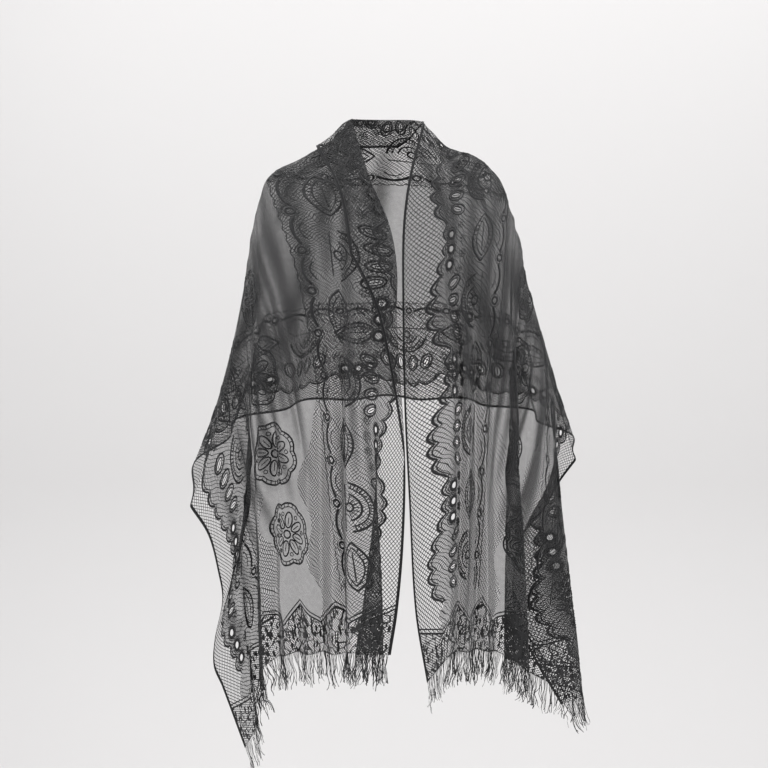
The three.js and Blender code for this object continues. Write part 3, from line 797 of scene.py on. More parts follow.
def leaf_side(u, v, leaf, sign, t):
    """Places on one side of a pointed leaf that lies along the cloth, from tip (t -1) to tip (t 1)."""
    return np.stack([u + leaf.half * t, v + sign * leaf.bulge * (1 - t * t)], axis=-1)


def heading(angle):
    return np.array([math.cos(angle), math.sin(angle)])


def rung(start, stop, width):
    """A straight thread between two places."""
    return Strand(np.array([start, stop], float), width, False)


def ring(u, v, band):
    return Strand(circle(u, v, band.radius, band.sides), band.width, True)


def arch(u, v, row):
    angles = np.radians(np.linspace(row.start, row.stop, row.steps + 1))
    return Strand(around(u, v, row.radius, angles), row.width, False)


def loops_of_repeat():
    """Where each loop of one repeat lies, and how it leans."""
    for place in LOOP_PLACES:
        u = LOOP_MIDDLE + LOOP_SPACING * place
        yield u, LOOP_V + LOOP_DROP * place * place, LOOP_LEAN * place


def border_strands():
    """The figures of one repeat of the border, as strands on the flat cloth."""
    us = np.arange(0, REPEAT + 0.1, SCALLOP_STEP)
    line = np.stack([us, scallop(us - REPEATS * REPEAT / 2)], axis=1)
    strands = [Strand(line + [0, rise], width, False) for rise, width in SCALLOP_THREADS]
    strands += [ring(u, RING_V, band) for u in RING_US for band in RING_BANDS]
    for u, v, lean in loops_of_repeat():
        for row in LOOP_OVALS:
            points = oval(u, v + row.rise, row.half_u, row.half_v, lean, 20)
            strands.append(Strand(points, row.width, True))
        stem = np.array([math.sin(lean), math.cos(lean)]) * LOOP_STEM
        strands.append(rung((u, v) - stem, (u, v) + stem, LOOP_STEM_WIDTH))
    for u, v in SMALL_FLOWERS:
        for k in range(SMALL_PETALS):
            angle = 2 * math.pi * (k + 0.25) / SMALL_PETALS
            out = SMALL_PETAL_OUT
            strands.append(ring(u + out * math.cos(angle), v + out * math.sin(angle), SMALL_PETAL))
    return strands + shell_strands(*SHELL) + leaf_strands(*LEAF) + inner_strands()


def shell_strands(u, v):
    strands = [arch(u, v, row) for row in SHELL_ARCHES]
    strands.append(ring(u, v - SHELL_RING_DROP, SHELL_RING))
    foot = v + SHELL_FOOT_RISE
    strands.append(rung((u - SHELL_FOOT, foot), (u + SHELL_FOOT, foot), VEIN_WIDTH))
    for row in SHELL_RAYS:
        for angle in np.radians(np.arange(row.start, row.stop, row.step)):
            ray = heading(angle)
            strands.append(rung((u, v) + row.inner * ray, (u, v) + row.outer * ray, row.width))
    return strands


def leaf_strands(u, v):
    strands = []
    for sign in (-1, 1):
        for leaf in LEAF_LINES:
            strands.append(Strand(leaf_side(u, v, leaf, sign, LEAF_STEPS), leaf.width, False))
        for t in LEAF_RUNGS:
            ends = [leaf_side(u, v, leaf, sign, t) for leaf in LEAF_LINES]
            strands.append(rung(*ends, RUNG_WIDTH))
    strands.append(rung((u - LEAF_VEIN, v), (u + LEAF_VEIN, v), VEIN_WIDTH))
    return strands


def inner_strands():
    """The edge of the border towards the plain field: small rings, crescents and a fine wave."""
    us = np.arange(0, REPEAT + 0.1, WAVE_STEP)
    wave = np.stack([us, FIELD - WAVE_DEPTH * np.abs(np.sin(us * math.pi / WAVE_LENGTH))], axis=1)
    strands = [Strand(wave, FINE_WIDTH, False)]
    for k in range(3):
        u = REPEAT * (k + 0.16) / 3
        strands += [ring(u, INNER_RING_V, band) for band in INNER_BANDS]
        strands += [arch(u + REPEAT / 6, v, row) for v, row in CRESCENTS]
    return strands


def rosette_strands():
    """A round flower for the plain field: eight petals in a lobed ring with rungs."""
    strands = [ring(0, 0, FLOWER_MIDDLE)]
    angles = np.radians(np.arange(0, 360, 360 / FLOWER_STEPS))
    for radius, width in FLOWER_RINGS:
        lobed = radius + FLOWER_LOBE * np.abs(np.sin(angles * FLOWER_PETALS / 2))
        strands.append(Strand(around(0, 0, lobed, angles), width, True))
    for k in range(FLOWER_RUNGS):
        angle = 2 * math.pi * k / FLOWER_RUNGS
        lobe = FLOWER_LOBE * abs(math.sin(angle * FLOWER_PETALS / 2))
        ends = [heading(angle) * (radius + lobe) for radius, _ in FLOWER_RINGS[::-1]]
        strands.append(rung(*ends, FINE_WIDTH))
    for k in range(FLOWER_PETALS):
        angle = 2 * math.pi * (k + 0.5) / FLOWER_PETALS
        out = heading(angle)
        petal = oval(*(out * FLOWER_PETAL_OUT), *FLOWER_PETAL, -angle, 16)
        strands.append(Strand(petal, FLOWER_PETAL_WIDTH, True))
        strands.append(rung(out * FLOWER_VEIN[0], out * FLOWER_VEIN[1], FINE_WIDTH))
        small = heading(2 * math.pi * k / FLOWER_PETALS) * FLOWER_SMALL_OUT
        strands.append(ring(*small, FLOWER_SMALL))
    return strands


def end_strands():
    """The figures of one short end: a double zigzag ribbon, petals at its tips and small rings."""
    vs = np.linspace(SELVAGE, WIDTH - SELVAGE, RIBBON_STEPS + 1)
    line = np.stack([end_line(vs), vs], axis=1)
    strands = [Strand(line - [gap, 0], width, False) for gap, width in RIBBON_THREADS]
    tip = END_LINE + END_ZIGZAG
    for k in range(round(WIDTH / END_PITCH)):
        v = END_PITCH * (k + 0.5)
        for lean in END_PETAL_LEANS:
            centre = np.array([tip + END_PETAL_START, v]) + END_PETAL_OUT * heading(lean)
            strands.append(Strand(oval(*centre, *END_PETAL, -lean, 14), END_PETAL_WIDTH, True))
        for offset in END_RING_OFFSETS:
            strands += [ring(tip + past, v + offset, band) for past, band in END_RINGS]
    return strands


def turned_over(points):
    """Flat points on the other long edge of the cloth, as in a mirror."""
    return points * [1, -1] + [0, WIDTH]


def border_holes():
    """The gaps that go right through the lace, in the rings and the loops of both long edges."""
    holes = []
    for k in range(REPEATS):
        start = (k - REPEATS / 2) * REPEAT
        for u in RING_US:
            holes.append(circle(start + u, RING_V, RING_HOLE, 12))
        for u, v, lean in loops_of_repeat():
            holes.append(oval(start + u, v, *LOOP_HOLE, lean, 14))
    return holes + [turned_over(hole) for hole in holes]


def inside(outline, points):
    """Whether each point lies inside a closed outline."""
    result = np.zeros(len(points), bool)
    x, y = points[:, 0], points[:, 1]
    following = np.roll(outline, -1, axis=0)
    for (x0, y0), (x1, y1) in zip(outline, following):
        if y0 == y1:
            continue
        crosses = (y0 > y) != (y1 > y)
        result ^= crosses & (x < (x1 - x0) * (y - y0) / (y1 - y0) + x0)
    return result


def stepped(points, step, closed=False):
    """The points of a line with more between them, so that none are further apart than the step."""
    if closed:
        points = np.concatenate([points, points[:1]])
    out = [points[0]]
    for a, b in zip(points[:-1], points[1:]):
        count = max(1, math.ceil(np.linalg.norm(b - a) / step))
        out += [a + (b - a) * k / count for k in range(1, count + 1)]
    return np.array(out[:-1] if closed else out)


def neck_edge(start, stop, count):
    us = np.linspace(start, stop, count)
    return np.stack([us, turned(us)], axis=1)


def back_outline():
    shares = np.linspace(0, 1, SIDE_POINTS)
    left = np.stack([-ridge_along(shares), COLLAR_WIDTH + (WIDTH - COLLAR_WIDTH) * shares], axis=1)
    right = np.stack([ridge_along(shares), WIDTH * shares], axis=1)[::-1]
    neck = neck_edge(RIDGE_ALONG[0], -RIDGE_ALONG[0], NAPE_POINTS)
    return np.concatenate([left, right, neck[1:-1]])


def outline_of(name):
    """The outline on the flat cloth of one stretch of the shawl."""
    if name == "back":
        return back_outline()
    if name == "collar":
        return np.concatenate([
            [(COLLAR_START, 0), (COLLAR_END, 0)],
            neck_edge(COLLAR_END, COLLAR_START, FOLD_POINTS),
        ])
    part, side = name.split("_")
    cloth = front(side)
    end = cloth.sign * LENGTH / 2
    fold = cloth.across_of("arm_fold")
    downs = np.linspace(0, 1, SEAM_POINTS)
    acrosses = np.full_like(downs, fold)
    seam = np.stack([cloth.flat_u(acrosses, downs), cloth.flat_v(acrosses, downs)], axis=1)
    low, high = (0, fold) if part == "front" else (fold, 1)
    tops = cloth.top_at(np.linspace(high, low, RIDGE_POINTS))
    ridge = np.stack([cloth.sign * ridge_along(tops), cloth.neck + (WIDTH - cloth.neck) * tops], axis=1)
    if part == "arm":
        return np.concatenate([seam, [(end, WIDTH)], ridge[:-1]])
    neck = neck_edge(end, cloth.sign * RIDGE_ALONG[0], NECK_POINTS)
    return np.concatenate([seam[:-1], [(end, WIDTH * fold)], neck, ridge[::-1][1:-1]])


def lines_within(outline, step):
    """The short pieces, inside an outline, of the lines between the grounds."""
    lines = []
    for line in zone_lines(step):
        within = inside(outline, line)
        lines += [line[k:k + 2] for k in range(len(line) - 1) if within[k] and within[k + 1]]
    return lines


def loose_grid(outline, fixed, step):
    """Even points inside an outline, none of them close to the fixed ones."""
    tree = KDTree(len(fixed))
    for index, point in enumerate(fixed):
        tree.insert((*point, 0), index)
    tree.balance()
    low, high = outline.min(axis=0), outline.max(axis=0)
    us = np.arange(low[0] + step / 2, high[0], step)
    vs = np.arange(low[1] + step / 2, high[1], step)
    grid = np.stack(np.meshgrid(us, vs, indexing="ij"), axis=2)
    grid[1::2, :, 1] += step / 2
    grid = grid.reshape(-1, 2)
    grid = grid[inside(outline, grid)]
    far = [tree.find((x, y, 0))[2] > step * LEAST_GAP for x, y in grid]
    return grid[np.array(far)]


def flat_piece(name, step):
    """One stretch of the cloth, flat: its points, its triangles and the ground that each belongs to."""
    outline = stepped(outline_of(name), step * LINE_STEP, closed=True)
    holes = [hole for hole in border_holes() if inside(outline, hole).all()]
    loops = [outline, *holes]
    lines = lines_within(outline, step)
    fixed = np.concatenate(loops + lines)
    grid = loose_grid(outline, fixed, step)
    edges = []
    first = 0
    for loop in loops:
        count = len(loop)
        edges += [(first + k, first + (k + 1) % count) for k in range(count)]
        first += count
    edges += [(first + 2 * k, first + 2 * k + 1) for k in range(len(lines))]
    points = [Vector(point) for point in np.concatenate([fixed, grid])]
    places, _, faces, *_ = delaunay_2d_cdt(points, edges, [], 0, 1e-4)
    places = np.array(places)
    faces = np.array(faces)
    middles = places[faces].mean(axis=1)
    keep = inside(outline, middles)
    for hole in holes:
        near = np.flatnonzero((np.abs(middles - hole.mean(axis=0)) < HOLE_REACH).all(axis=1))
        keep[near[inside(hole, middles[near])]] = False
    a, b, c = (places[faces[:, k]] for k in range(3))
    doubled = (b - a)[:, 0] * (c - a)[:, 1] - (b - a)[:, 1] * (c - a)[:, 0]
    keep &= np.abs(doubled) > LEAST_DOUBLED_AREA
    faces[doubled < 0] = faces[doubled < 0][:, ::-1]
    faces = faces[keep]
    return places, faces, zone_at(*middles[keep].T)


@functools.cache
def zone_lines(step):
    """The lines where one ground of the lace meets the next."""
    half = LENGTH / 2
    long = np.arange(-half, half + 0.1, step * LINE_STEP)
    lines = []
    for edge in (np.full_like(long, SELVAGE), scallop(long), field_line(long)):
        within = np.stack([long, edge], axis=1)
        if edge[0] != SELVAGE:
            within = within[np.abs(long) < end_line(edge) - 1]
        lines += [within, turned_over(within)]
    vs = np.arange(SELVAGE, WIDTH - SELVAGE + 0.1, step * LINE_STEP)
    for sign in (-1, 1):
        lines.append(np.stack([sign * end_line(vs), vs], axis=1))
    return lines


def shell_of(places, faces, thickness):
    """A closed shell of that thickness round a flat sheet: points and polygons."""
    count = len(places)
    height = np.full((count, 1), thickness / 2)
    points = np.concatenate([
        np.concatenate([places, height], axis=1),
        np.concatenate([places, -height], axis=1),
    ])
    edges = np.concatenate([faces[:, [0, 1]], faces[:, [1, 2]], faces[:, [2, 0]]])
    code = edges[:, 0] * count + edges[:, 1]
    back = edges[:, 1] * count + edges[:, 0]
    rim = edges[~np.isin(code, back)]
    owner = np.tile(np.arange(len(faces)), 3)[~np.isin(code, back)]
    quads = np.stack([rim[:, 0], rim[:, 0] + count, rim[:, 1] + count, rim[:, 1]], axis=1)
    return points, faces.tolist() + (faces[:, ::-1] + count).tolist() + quads.tolist(), owner


def strands_mesh(strands, height):
    """Closed raised strands on the flat cloth, rounded over and under it: points and polygons."""
    points, faces = [], []
    for strand in strands:
        line = np.asarray(strand.points, float)
        count = len(line)
        if strand.closed:
            along = np.roll(line, -1, axis=0) - np.roll(line, 1, axis=0)
        else:
            along = np.gradient(line, axis=0)
        along /= np.linalg.norm(along, axis=1, keepdims=True)
        side = np.stack([-along[:, 1], along[:, 0]], axis=1) * strand.width / 2
        zero = np.zeros((count, 1))
        sections = np.stack([
            np.concatenate([line + side, zero], axis=1),
            np.concatenate([line, zero + height], axis=1),
            np.concatenate([line - side, zero], axis=1),
            np.concatenate([line, zero - height], axis=1),
        ], axis=1)
        base = sum(len(p) for p in points)
        points.append(sections.reshape(-1, 3))
        segments = count if strand.closed else count - 1
        for k in range(segments):
            a = base + 4 * k
            b = base + 4 * ((k + 1) % count)
            for q in range(4):
                r = (q + 1) % 4
                faces.append((a + q, a + r, b + r, b + q))
        if not strand.closed:
            last = base + 4 * (count - 1)
            faces.append((base + 3, base + 2, base + 1, base))
            faces.append((last, last + 1, last + 2, last + 3))
    return np.concatenate(points), faces


def new_object(name, points, faces, materials=()):
    mesh = bpy.data.meshes.new(name)
    mesh.from_pydata(np.asarray(points).tolist(), [], faces)
    for material in materials:
        mesh.materials.append(material)
    obj = bpy.data.objects.new(name, mesh)
    bpy.context.scene.collection.objects.link(obj)
    return obj


def wear(obj):
    """Keeps the flat place of each corner as a UV map, and moves the mesh to where the cloth is worn."""
    mesh = obj.data
    count = len(mesh.vertices)
    flat = np.empty(count * 3)
    mesh.vertices.foreach_get("co", flat)
    flat = flat.reshape(-1, 3)
    corners = np.empty(len(mesh.loops), np.int32)
    mesh.loops.foreach_get("vertex_index", corners)
    layer = mesh.uv_layers.new(name=UV_NAME)
    layer.data.foreach_set("uv", (flat[corners, :2] * MM).ravel())
    mesh.vertices.foreach_set("co", worn()(flat).ravel())
    # Painted shade: each point's depth in a crease is kept as an attribute that gives the cloth more cover,
    # so darker cloth, there.
    shaded = mesh.attributes.new(CREASE_SHADE_NAME, "FLOAT", "POINT")
    depth = np.abs(crease_depth(flat[:, 0], flat[:, 1]))
    shaded.data.foreach_set("value", np.clip(depth / CREASE_SHADE_DEPTH, 0, 1))
    mesh.polygons.foreach_set("use_smooth", np.ones(len(mesh.polygons), bool))
    mesh.update()
    return obj


class Graph:
    """Adds nodes to one node tree and wires them."""

    def __init__(self, tree):
        self.tree = tree

    def add(self, kind, operation=None, **inputs):
        """A new node, with each named input as a value or as another node's output."""
        node = self.tree.nodes.new(kind)
        if operation:
            node.operation = operation
        for name, value in inputs.items():
            self.give(node.inputs[name.replace("_", " ")], value)
        return node

    def give(self, socket, value):
        if isinstance(value, bpy.types.NodeSocket):
            self.tree.links.new(value, socket)
        else:
            socket.default_value = value

    def worked(self, kind, operation, *values, **inputs):
        node = self.add(kind, operation, **inputs)
        for socket, value in zip(node.inputs, values):
            self.give(socket, value)
        return node.outputs[0]

    def math(self, operation, *values):
        return self.worked("ShaderNodeMath", operation, *values)

    def vector(self, operation, *values, **inputs):
        return self.worked("ShaderNodeVectorMath", operation, *values, **inputs)

    def part(self, vector, axis):
        return self.add("ShaderNodeSeparateXYZ", Vector=vector).outputs[axis]


class Copies(Graph):
    """A geometry node tree that sets copies in a row and makes them one mesh of one material."""

    def __init__(self, name, **sockets):
        super().__init__(bpy.data.node_groups.new(name, "GeometryNodeTree"))
        kinds = {"Mesh": "Geometry", "Count": "Int", "Start": "Vector", "Spacing": "Vector", **sockets}
        for label, kind in [*kinds.items(), ("Material", "Material")]:
            self.tree.interface.new_socket(label, in_out="INPUT", socket_type=f"NodeSocket{kind}")
        self.tree.interface.new_socket("Mesh", in_out="OUTPUT", socket_type="NodeSocketGeometry")
        self.given = self.add("NodeGroupInput").outputs

    def row(self, mesh, **inputs):
        """Copies of a mesh in a row from the start, as real geometry."""
        given = self.given
        line = self.add(
            "GeometryNodeMeshLine", Count=given["Count"], Start_Location=given["Start"],
            Offset=given["Spacing"])
        copies = self.add(
            "GeometryNodeInstanceOnPoints", Points=line.outputs["Mesh"], Instance=mesh, **inputs)
        real = self.add("GeometryNodeRealizeInstances", Geometry=copies.outputs["Instances"])
        return real.outputs["Geometry"]

    def random(self, kind, first, low, high):
        """A random value for each copy. First is the number of its kind's low socket."""
        node = self.add("FunctionNodeRandomValue", Seed=self.given["Seed"])
        node.data_type = kind
        node.inputs[first].default_value = low
        node.inputs[first + 1].default_value = high
        return node

    def end(self, geometry):
        finish = self.add("GeometryNodeSetMaterial", Geometry=geometry, Material=self.given["Material"])
        self.add("NodeGroupOutput", Mesh=finish.outputs["Geometry"])
        return self.tree


def repeat_tree(name):
    """A node tree that sets copies of its mesh in a row."""
    copies = Copies(name)
    return copies.end(copies.row(copies.given["Mesh"]))


def fringe_tree(name):
    """A node tree that hangs loose strands in a row along one short end of the flat cloth."""
    fringe = Copies(name, Length="Float", Radius="Float", Seed="Int")
    given = fringe.given
    reach = fringe.add("ShaderNodeCombineXYZ", X=given["Length"])
    line = fringe.add("GeometryNodeCurvePrimitiveLine", End=reach.outputs["Vector"])
    points = fringe.add("GeometryNodeResampleCurve", Curve=line.outputs["Curve"], Count=STRAND_POINTS)
    section = fringe.add("GeometryNodeCurvePrimitiveCircle", Resolution=STRAND_SIDES, Radius=given["Radius"])
    tube = fringe.add(
        "GeometryNodeCurveToMesh", Curve=points.outputs["Curve"], Profile_Curve=section.outputs["Curve"],
        Fill_Caps=True)
    length = fringe.random("FLOAT", 2, *STRAND_LENGTHS).outputs[1]
    turn = fringe.random("FLOAT_VECTOR", 0, *STRAND_TURNS).outputs["Value"]
    stretch = fringe.add("ShaderNodeCombineXYZ", X=length, Y=1, Z=1)
    strands = fringe.row(tube.outputs["Mesh"], Scale=stretch.outputs["Vector"], Rotation=turn)
    place = fringe.add("GeometryNodeInputPosition").outputs["Position"]
    edge = fringe.part(given["Start"], "X")
    fade = fringe.add(
        "ShaderNodeMapRange", Value=fringe.part(place, "X"), From_Min=edge,
        From_Max=fringe.math("ADD", edge, given["Length"]), To_Max=STRAND_SWING)
    drift = fringe.add("ShaderNodeTexNoise", Vector=place, Scale=STRAND_DRIFT, Detail=2)
    centred = fringe.vector("SUBTRACT", drift.outputs["Color"], (0.5, 0.5, 0.5))
    swing = fringe.vector("SCALE", centred, Scale=fade.outputs["Result"])
    moved = fringe.add("GeometryNodeSetPosition", Geometry=strands, Offset=swing)
    return fringe.end(moved.outputs["Geometry"])


def with_tree(obj, tree, values):
    """Runs a node tree on an object and keeps the result as its plain mesh."""
    modifier = obj.modifiers.new(tree.name, "NODES")
    modifier.node_group = tree
    for item in tree.interface.items_tree:
        if item.in_out == "INPUT" and item.name in values:
            modifier[item.identifier] = values[item.name]
    graph = bpy.context.evaluated_depsgraph_get()
    mesh = bpy.data.meshes.new_from_object(obj.evaluated_get(graph))
    obj.modifiers.clear()
    old = obj.data
    obj.data = mesh
    mesh.name = obj.name
    bpy.data.meshes.remove(old)
    return obj


class Wiring(Graph):
    """Adds shader nodes to one new material and wires them."""

    def __init__(self, name, colour, roughness, sheen):
        self.material = bpy.data.materials.new(name)
        self.material.use_nodes = True
        super().__init__(self.material.node_tree)
        self.skin = self.tree.nodes["Principled BSDF"].inputs
        self.skin["Base Color"].default_value = (*colour, 1)
        self.skin["Roughness"].default_value = roughness
        self.skin["Specular IOR Level"].default_value = 0.35
        self.skin["Sheen Weight"].default_value = sheen
        self.skin["Sheen Roughness"].default_value = 0.45
        node = self.add("ShaderNodeUVMap")
        node.uv_map = UV_NAME
        self.flat = self.vector("SCALE", node.outputs["UV"], Scale=1 / MM)
        self.u = self.part(self.flat, "X")
        self.v = self.part(self.flat, "Y")

    def thread(self, value, threads):
        """1 on evenly spaced threads across the value, and 0 between them."""
        turn = self.math("PINGPONG", self.math("DIVIDE", value, threads.pitch), 0.5)
        return self.math("LESS_THAN", turn, threads.share / 2)

    def crossed(self, u, v, one, two):
        """Threads that lean both ways."""
        first = self.thread(self.math("ADD", u, v), one)
        return self.math("MAXIMUM", first, self.thread(self.math("SUBTRACT", u, v), two))

    def with_crease_shade(self, cover, more):
        """The cover, with painted shade along the creases: more cover, so darker cloth, where the cloth is
        creased.
        """
        node = self.add("ShaderNodeAttribute")
        node.attribute_name = CREASE_SHADE_NAME
        return self.math("MULTIPLY_ADD", node.outputs["Fac"], more, cover)

    def between(self, mask, low, high):
        """Low where the mask is 0 and high where it is 1."""
        return self.math("MULTIPLY_ADD", mask, high - low, low)

    def noise(self, scale, detail):
        return self.add("ShaderNodeTexNoise", Vector=self.flat, Scale=scale, Detail=detail).outputs["Fac"]

    def finish(self, height, strength, distance, alpha=1.0):
        node = self.add("ShaderNodeBump", Height=height, Strength=strength, Distance=distance)
        self.give(self.skin["Normal"], node.outputs["Normal"])
        self.give(self.skin["Alpha"], alpha)
        return self.material


def net_material(look):
    """The open diamond net along the selvage."""
    net = Wiring("Diamond net", look.ground_colour, roughness=0.7, sheen=look.sheen)
    mask = net.crossed(net.u, net.math("MULTIPLY", net.v, NET_SLANT), NET_THREADS, NET_THREADS)
    cover = net.between(mask, look.net_veil, THREAD_COVER)
    return net.finish(mask, strength=0.5, distance=0.0004, alpha=cover)


def figured_material(look):
    """The close barred ground between the figures."""
    bars = Wiring("Barred ground", look.ground_colour, roughness=0.72, sheen=look.sheen)
    drift = bars.math("MULTIPLY", bars.noise(scale=0.045, detail=1), BAR_DRIFT)
    mask = bars.crossed(bars.math("ADD", bars.u, drift), bars.v, BARS, TIES)
    # Painted shade: the close ground gets more cover, so it looks darker, along the creases.
    veil = bars.with_crease_shade(look.figure_veil, look.crease_shade_cover)
    cover = bars.math("MAXIMUM", veil, bars.math("MULTIPLY", mask, THREAD_COVER))
    return bars.finish(mask, strength=0.6, distance=0.0004, alpha=cover)


def sheer_material(look):
    """The plain sheer field: fine threads along the cloth on a close, even tulle."""
    sheer = Wiring("Plain sheer", look.ground_colour, roughness=0.66, sheen=look.sheen)
    ribs = sheer.math("PINGPONG", sheer.math("DIVIDE", sheer.v, RIB_PITCH), 0.5)
    ribbed = sheer.math("MULTIPLY_ADD", ribs, 0.12, look.sheer_cover - 0.06)
    grain = sheer.math("MULTIPLY_ADD", sheer.noise(scale=0.12, detail=3), 0.10, -0.05)
    # Painted shade: the plain sheer gets more cover, so it looks darker, along the creases.
    cover = sheer.with_crease_shade(sheer.math("ADD", ribbed, grain), look.crease_shade_cover)
    return sheer.finish(ribs, strength=0.25, distance=0.0003, alpha=cover)


def leafy_material(look):
    """The irregular leafy net at the short ends."""
    leafy = Wiring("Leafy net", look.ground_colour, roughness=0.7, sheen=look.sheen)
    mask = leafy.crossed(leafy.u, leafy.v, LEAFY_THREADS, LEAFY_THREADS)
    for lean in LEAF_LEANS:
        leaning = leafy.add(
            "ShaderNodeMapping", Vector=leafy.flat, Rotation=(0, 0, math.radians(lean)), Scale=LEAF_SHAPE)
        leaves = leafy.add("ShaderNodeTexVoronoi", Vector=leaning.outputs[0], Scale=0.11)
        mask = leafy.math("MAXIMUM", mask, leafy.math("LESS_THAN", leaves.outputs["Distance"], 0.29))
    stems = leafy.add("ShaderNodeTexVoronoi", Vector=leafy.flat, Scale=0.06)
    stems.feature = "DISTANCE_TO_EDGE"
    mask = leafy.math("MAXIMUM", mask, leafy.math("LESS_THAN", stems.outputs["Distance"], 0.035))
    cover = leafy.between(mask, look.net_veil, THREAD_COVER)
    return leafy.finish(mask, strength=0.6, distance=0.0004, alpha=cover)


def selvage_material(look):
    """The dense band along the long edges."""
    band = Wiring("Selvage band", look.thread_colour, roughness=0.6, sheen=look.sheen)
    rungs = band.thread(band.u, SELVAGE_RUNGS)
    return band.finish(rungs, strength=0.6, distance=0.0004, alpha=band.between(rungs, 0.86, 0.99))


def thread_material(look):
    """The thick outline threads of the figures."""
    yarn = Wiring("Outline thread", look.thread_colour, roughness=0.5, sheen=look.thread_sheen)
    twist = yarn.thread(yarn.math("MULTIPLY_ADD", yarn.u, 1.3, yarn.v), TWIST)
    fuzz = yarn.noise(scale=1.4, detail=2)
    yarn.give(yarn.skin["Roughness"], yarn.math("MULTIPLY_ADD", fuzz, 0.3, 0.38))
    return yarn.finish(yarn.math("MULTIPLY_ADD", twist, 0.5, fuzz), strength=0.5, distance=0.0003)


def fringe_material(look):
    """The loose yarn ends of the fringe."""
    yarn = Wiring("Fringe yarn", look.fringe_colour, roughness=0.75, sheen=look.sheen)
    return yarn.finish(yarn.noise(scale=0.9, detail=3), strength=0.4, distance=0.0003)


class ShawlCloth(bpy.types.PropertyGroup):
    """Sizes of the cloth and its strands."""

    step: bpy.props.FloatProperty(
        name="Mesh step", description="Distance between the cloth's mesh points", default=0.0042,
        min=0.002, max=0.02, unit="LENGTH")
    thickness: bpy.props.FloatProperty(
        name="Thickness", description="Thickness of the lace", default=0.0005, min=0.0002, max=0.002,
        unit="LENGTH")
    strand_height: bpy.props.FloatProperty(
        name="Outline height", description="How far the outline threads stand out of the lace",
        default=0.0008, min=0.0002, max=0.003, unit="LENGTH")
    fringe_length: bpy.props.FloatProperty(
        name="Fringe length", description="Usual length of the loose strands", default=0.050,
        min=0.01, max=0.2, unit="LENGTH")
    fringe_radius: bpy.props.FloatProperty(
        name="Yarn radius", description="Radius of a loose strand", default=0.0004, min=0.0001,
        max=0.002, unit="LENGTH")
    fringe_count: bpy.props.IntProperty(
        name="Strands", description="Loose strands on each short end", default=320, min=10, max=600)


class ShawlLook(bpy.types.PropertyGroup):
    """Colours and cover of the lace."""

    ground_colour: bpy.props.FloatVectorProperty(
        name="Ground colour", description="Colour of the fine threads", subtype="COLOR", size=3,
        default=(0.028, 0.028, 0.029), min=0, max=1)
    thread_colour: bpy.props.FloatVectorProperty(
        name="Outline colour", description="Colour of the thick outline threads", subtype="COLOR",
        size=3, default=(0.009, 0.009, 0.010), min=0, max=1)
    fringe_colour: bpy.props.FloatVectorProperty(
        name="Fringe colour", description="Colour of the loose strands", subtype="COLOR", size=3,
        default=(0.014, 0.014, 0.015), min=0, max=1)
    sheen: bpy.props.FloatProperty(
        name="Sheen", description="Soft light on the fine threads", default=0.12, min=0, max=1,
        subtype="FACTOR")
    thread_sheen: bpy.props.FloatProperty(
        name="Outline sheen", description="Soft light on the thick threads", default=0.16, min=0, max=1,
        subtype="FACTOR")
    net_veil: bpy.props.FloatProperty(
        name="Net veil", description="Cover in the holes of the open nets", default=0.02, min=0, max=1,
        subtype="FACTOR")
    figure_veil: bpy.props.FloatProperty(
        name="Ground veil", description="Cover between the bars of the close ground", default=0.20,
        min=0, max=1, subtype="FACTOR")
    sheer_cover: bpy.props.FloatProperty(
        name="Sheer cover", description="How much each face of the plain field hides", default=0.37,
        min=0, max=1, subtype="FACTOR")
    # Painted shade: how much more cover, so how much darker, the cloth gets along its creases.
    crease_shade_cover: bpy.props.FloatProperty(
        name="Crease cover", description="How much more the cloth hides where it is gathered in a crease",
        default=0.42, min=0, max=1, subtype="FACTOR")


class ShawlStage(bpy.types.PropertyGroup):
    """The camera, the backdrop and the light."""

    elevation: bpy.props.FloatProperty(
        name="Elevation", description="How far the camera looks down", default=math.radians(8),
        subtype="ANGLE", unit="ROTATION")
    distance: bpy.props.FloatProperty(
        name="Distance", description="From the camera to the middle of the view", default=2.6,
        unit="LENGTH")
    view_width: bpy.props.FloatProperty(
        name="View width", description="Width of the view at the middle of the shawl", default=1.2288,
        unit="LENGTH")
    look_x: bpy.props.FloatProperty(
        name="Look at X", description="Middle of the view, sideways", default=-0.0048, unit="LENGTH")
    look_z: bpy.props.FloatProperty(
        name="Look at Z", description="Middle of the view, in height", default=-0.3705, unit="LENGTH")
    backdrop_colour: bpy.props.FloatVectorProperty(
        name="Backdrop colour", description="Colour of the floor and the wall", subtype="COLOR", size=3,
        default=(0.745, 0.735, 0.73), min=0, max=1)


LACE_PIECES = ["back", "front_left", "front_right", "arm_left", "arm_right", "collar"]


@functools.cache
def lace_materials():
    """The grounds of the lace, in the order of ZONES."""
    look = bpy.context.scene.shawl_look
    makers = [selvage_material, net_material, figured_material, sheer_material, leafy_material]
    return [make(look) for make in makers]


@functools.cache
def outline_material():
    return thread_material(bpy.context.scene.shawl_look)


def raised(name, strands, materials=()):
    """A flat piece of raised threads."""
    height = bpy.context.scene.shawl_cloth.strand_height / MM
    return new_object(name, *strands_mesh(strands, height), materials)


def repeated(piece, tree, count, first, spacing):
    values = {"Count": count, "Start": first, "Spacing": (spacing, 0, 0), "Material": outline_material()}
    return with_tree(piece, tree, values)


def dress(piece):
    """Wears a flat piece and ties it to the shawl."""
    wear(piece)
    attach(piece, "root")


def turn_round(mesh):
    """Turns a flat mesh half round in its own plane, about the middle of the cloth."""
    flat = np.empty(len(mesh.vertices) * 3)
    mesh.vertices.foreach_get("co", flat)
    flat = flat.reshape(-1, 3) * [-1, -1, 1] + [0, WIDTH, 0]
    mesh.vertices.foreach_set("co", flat.ravel())


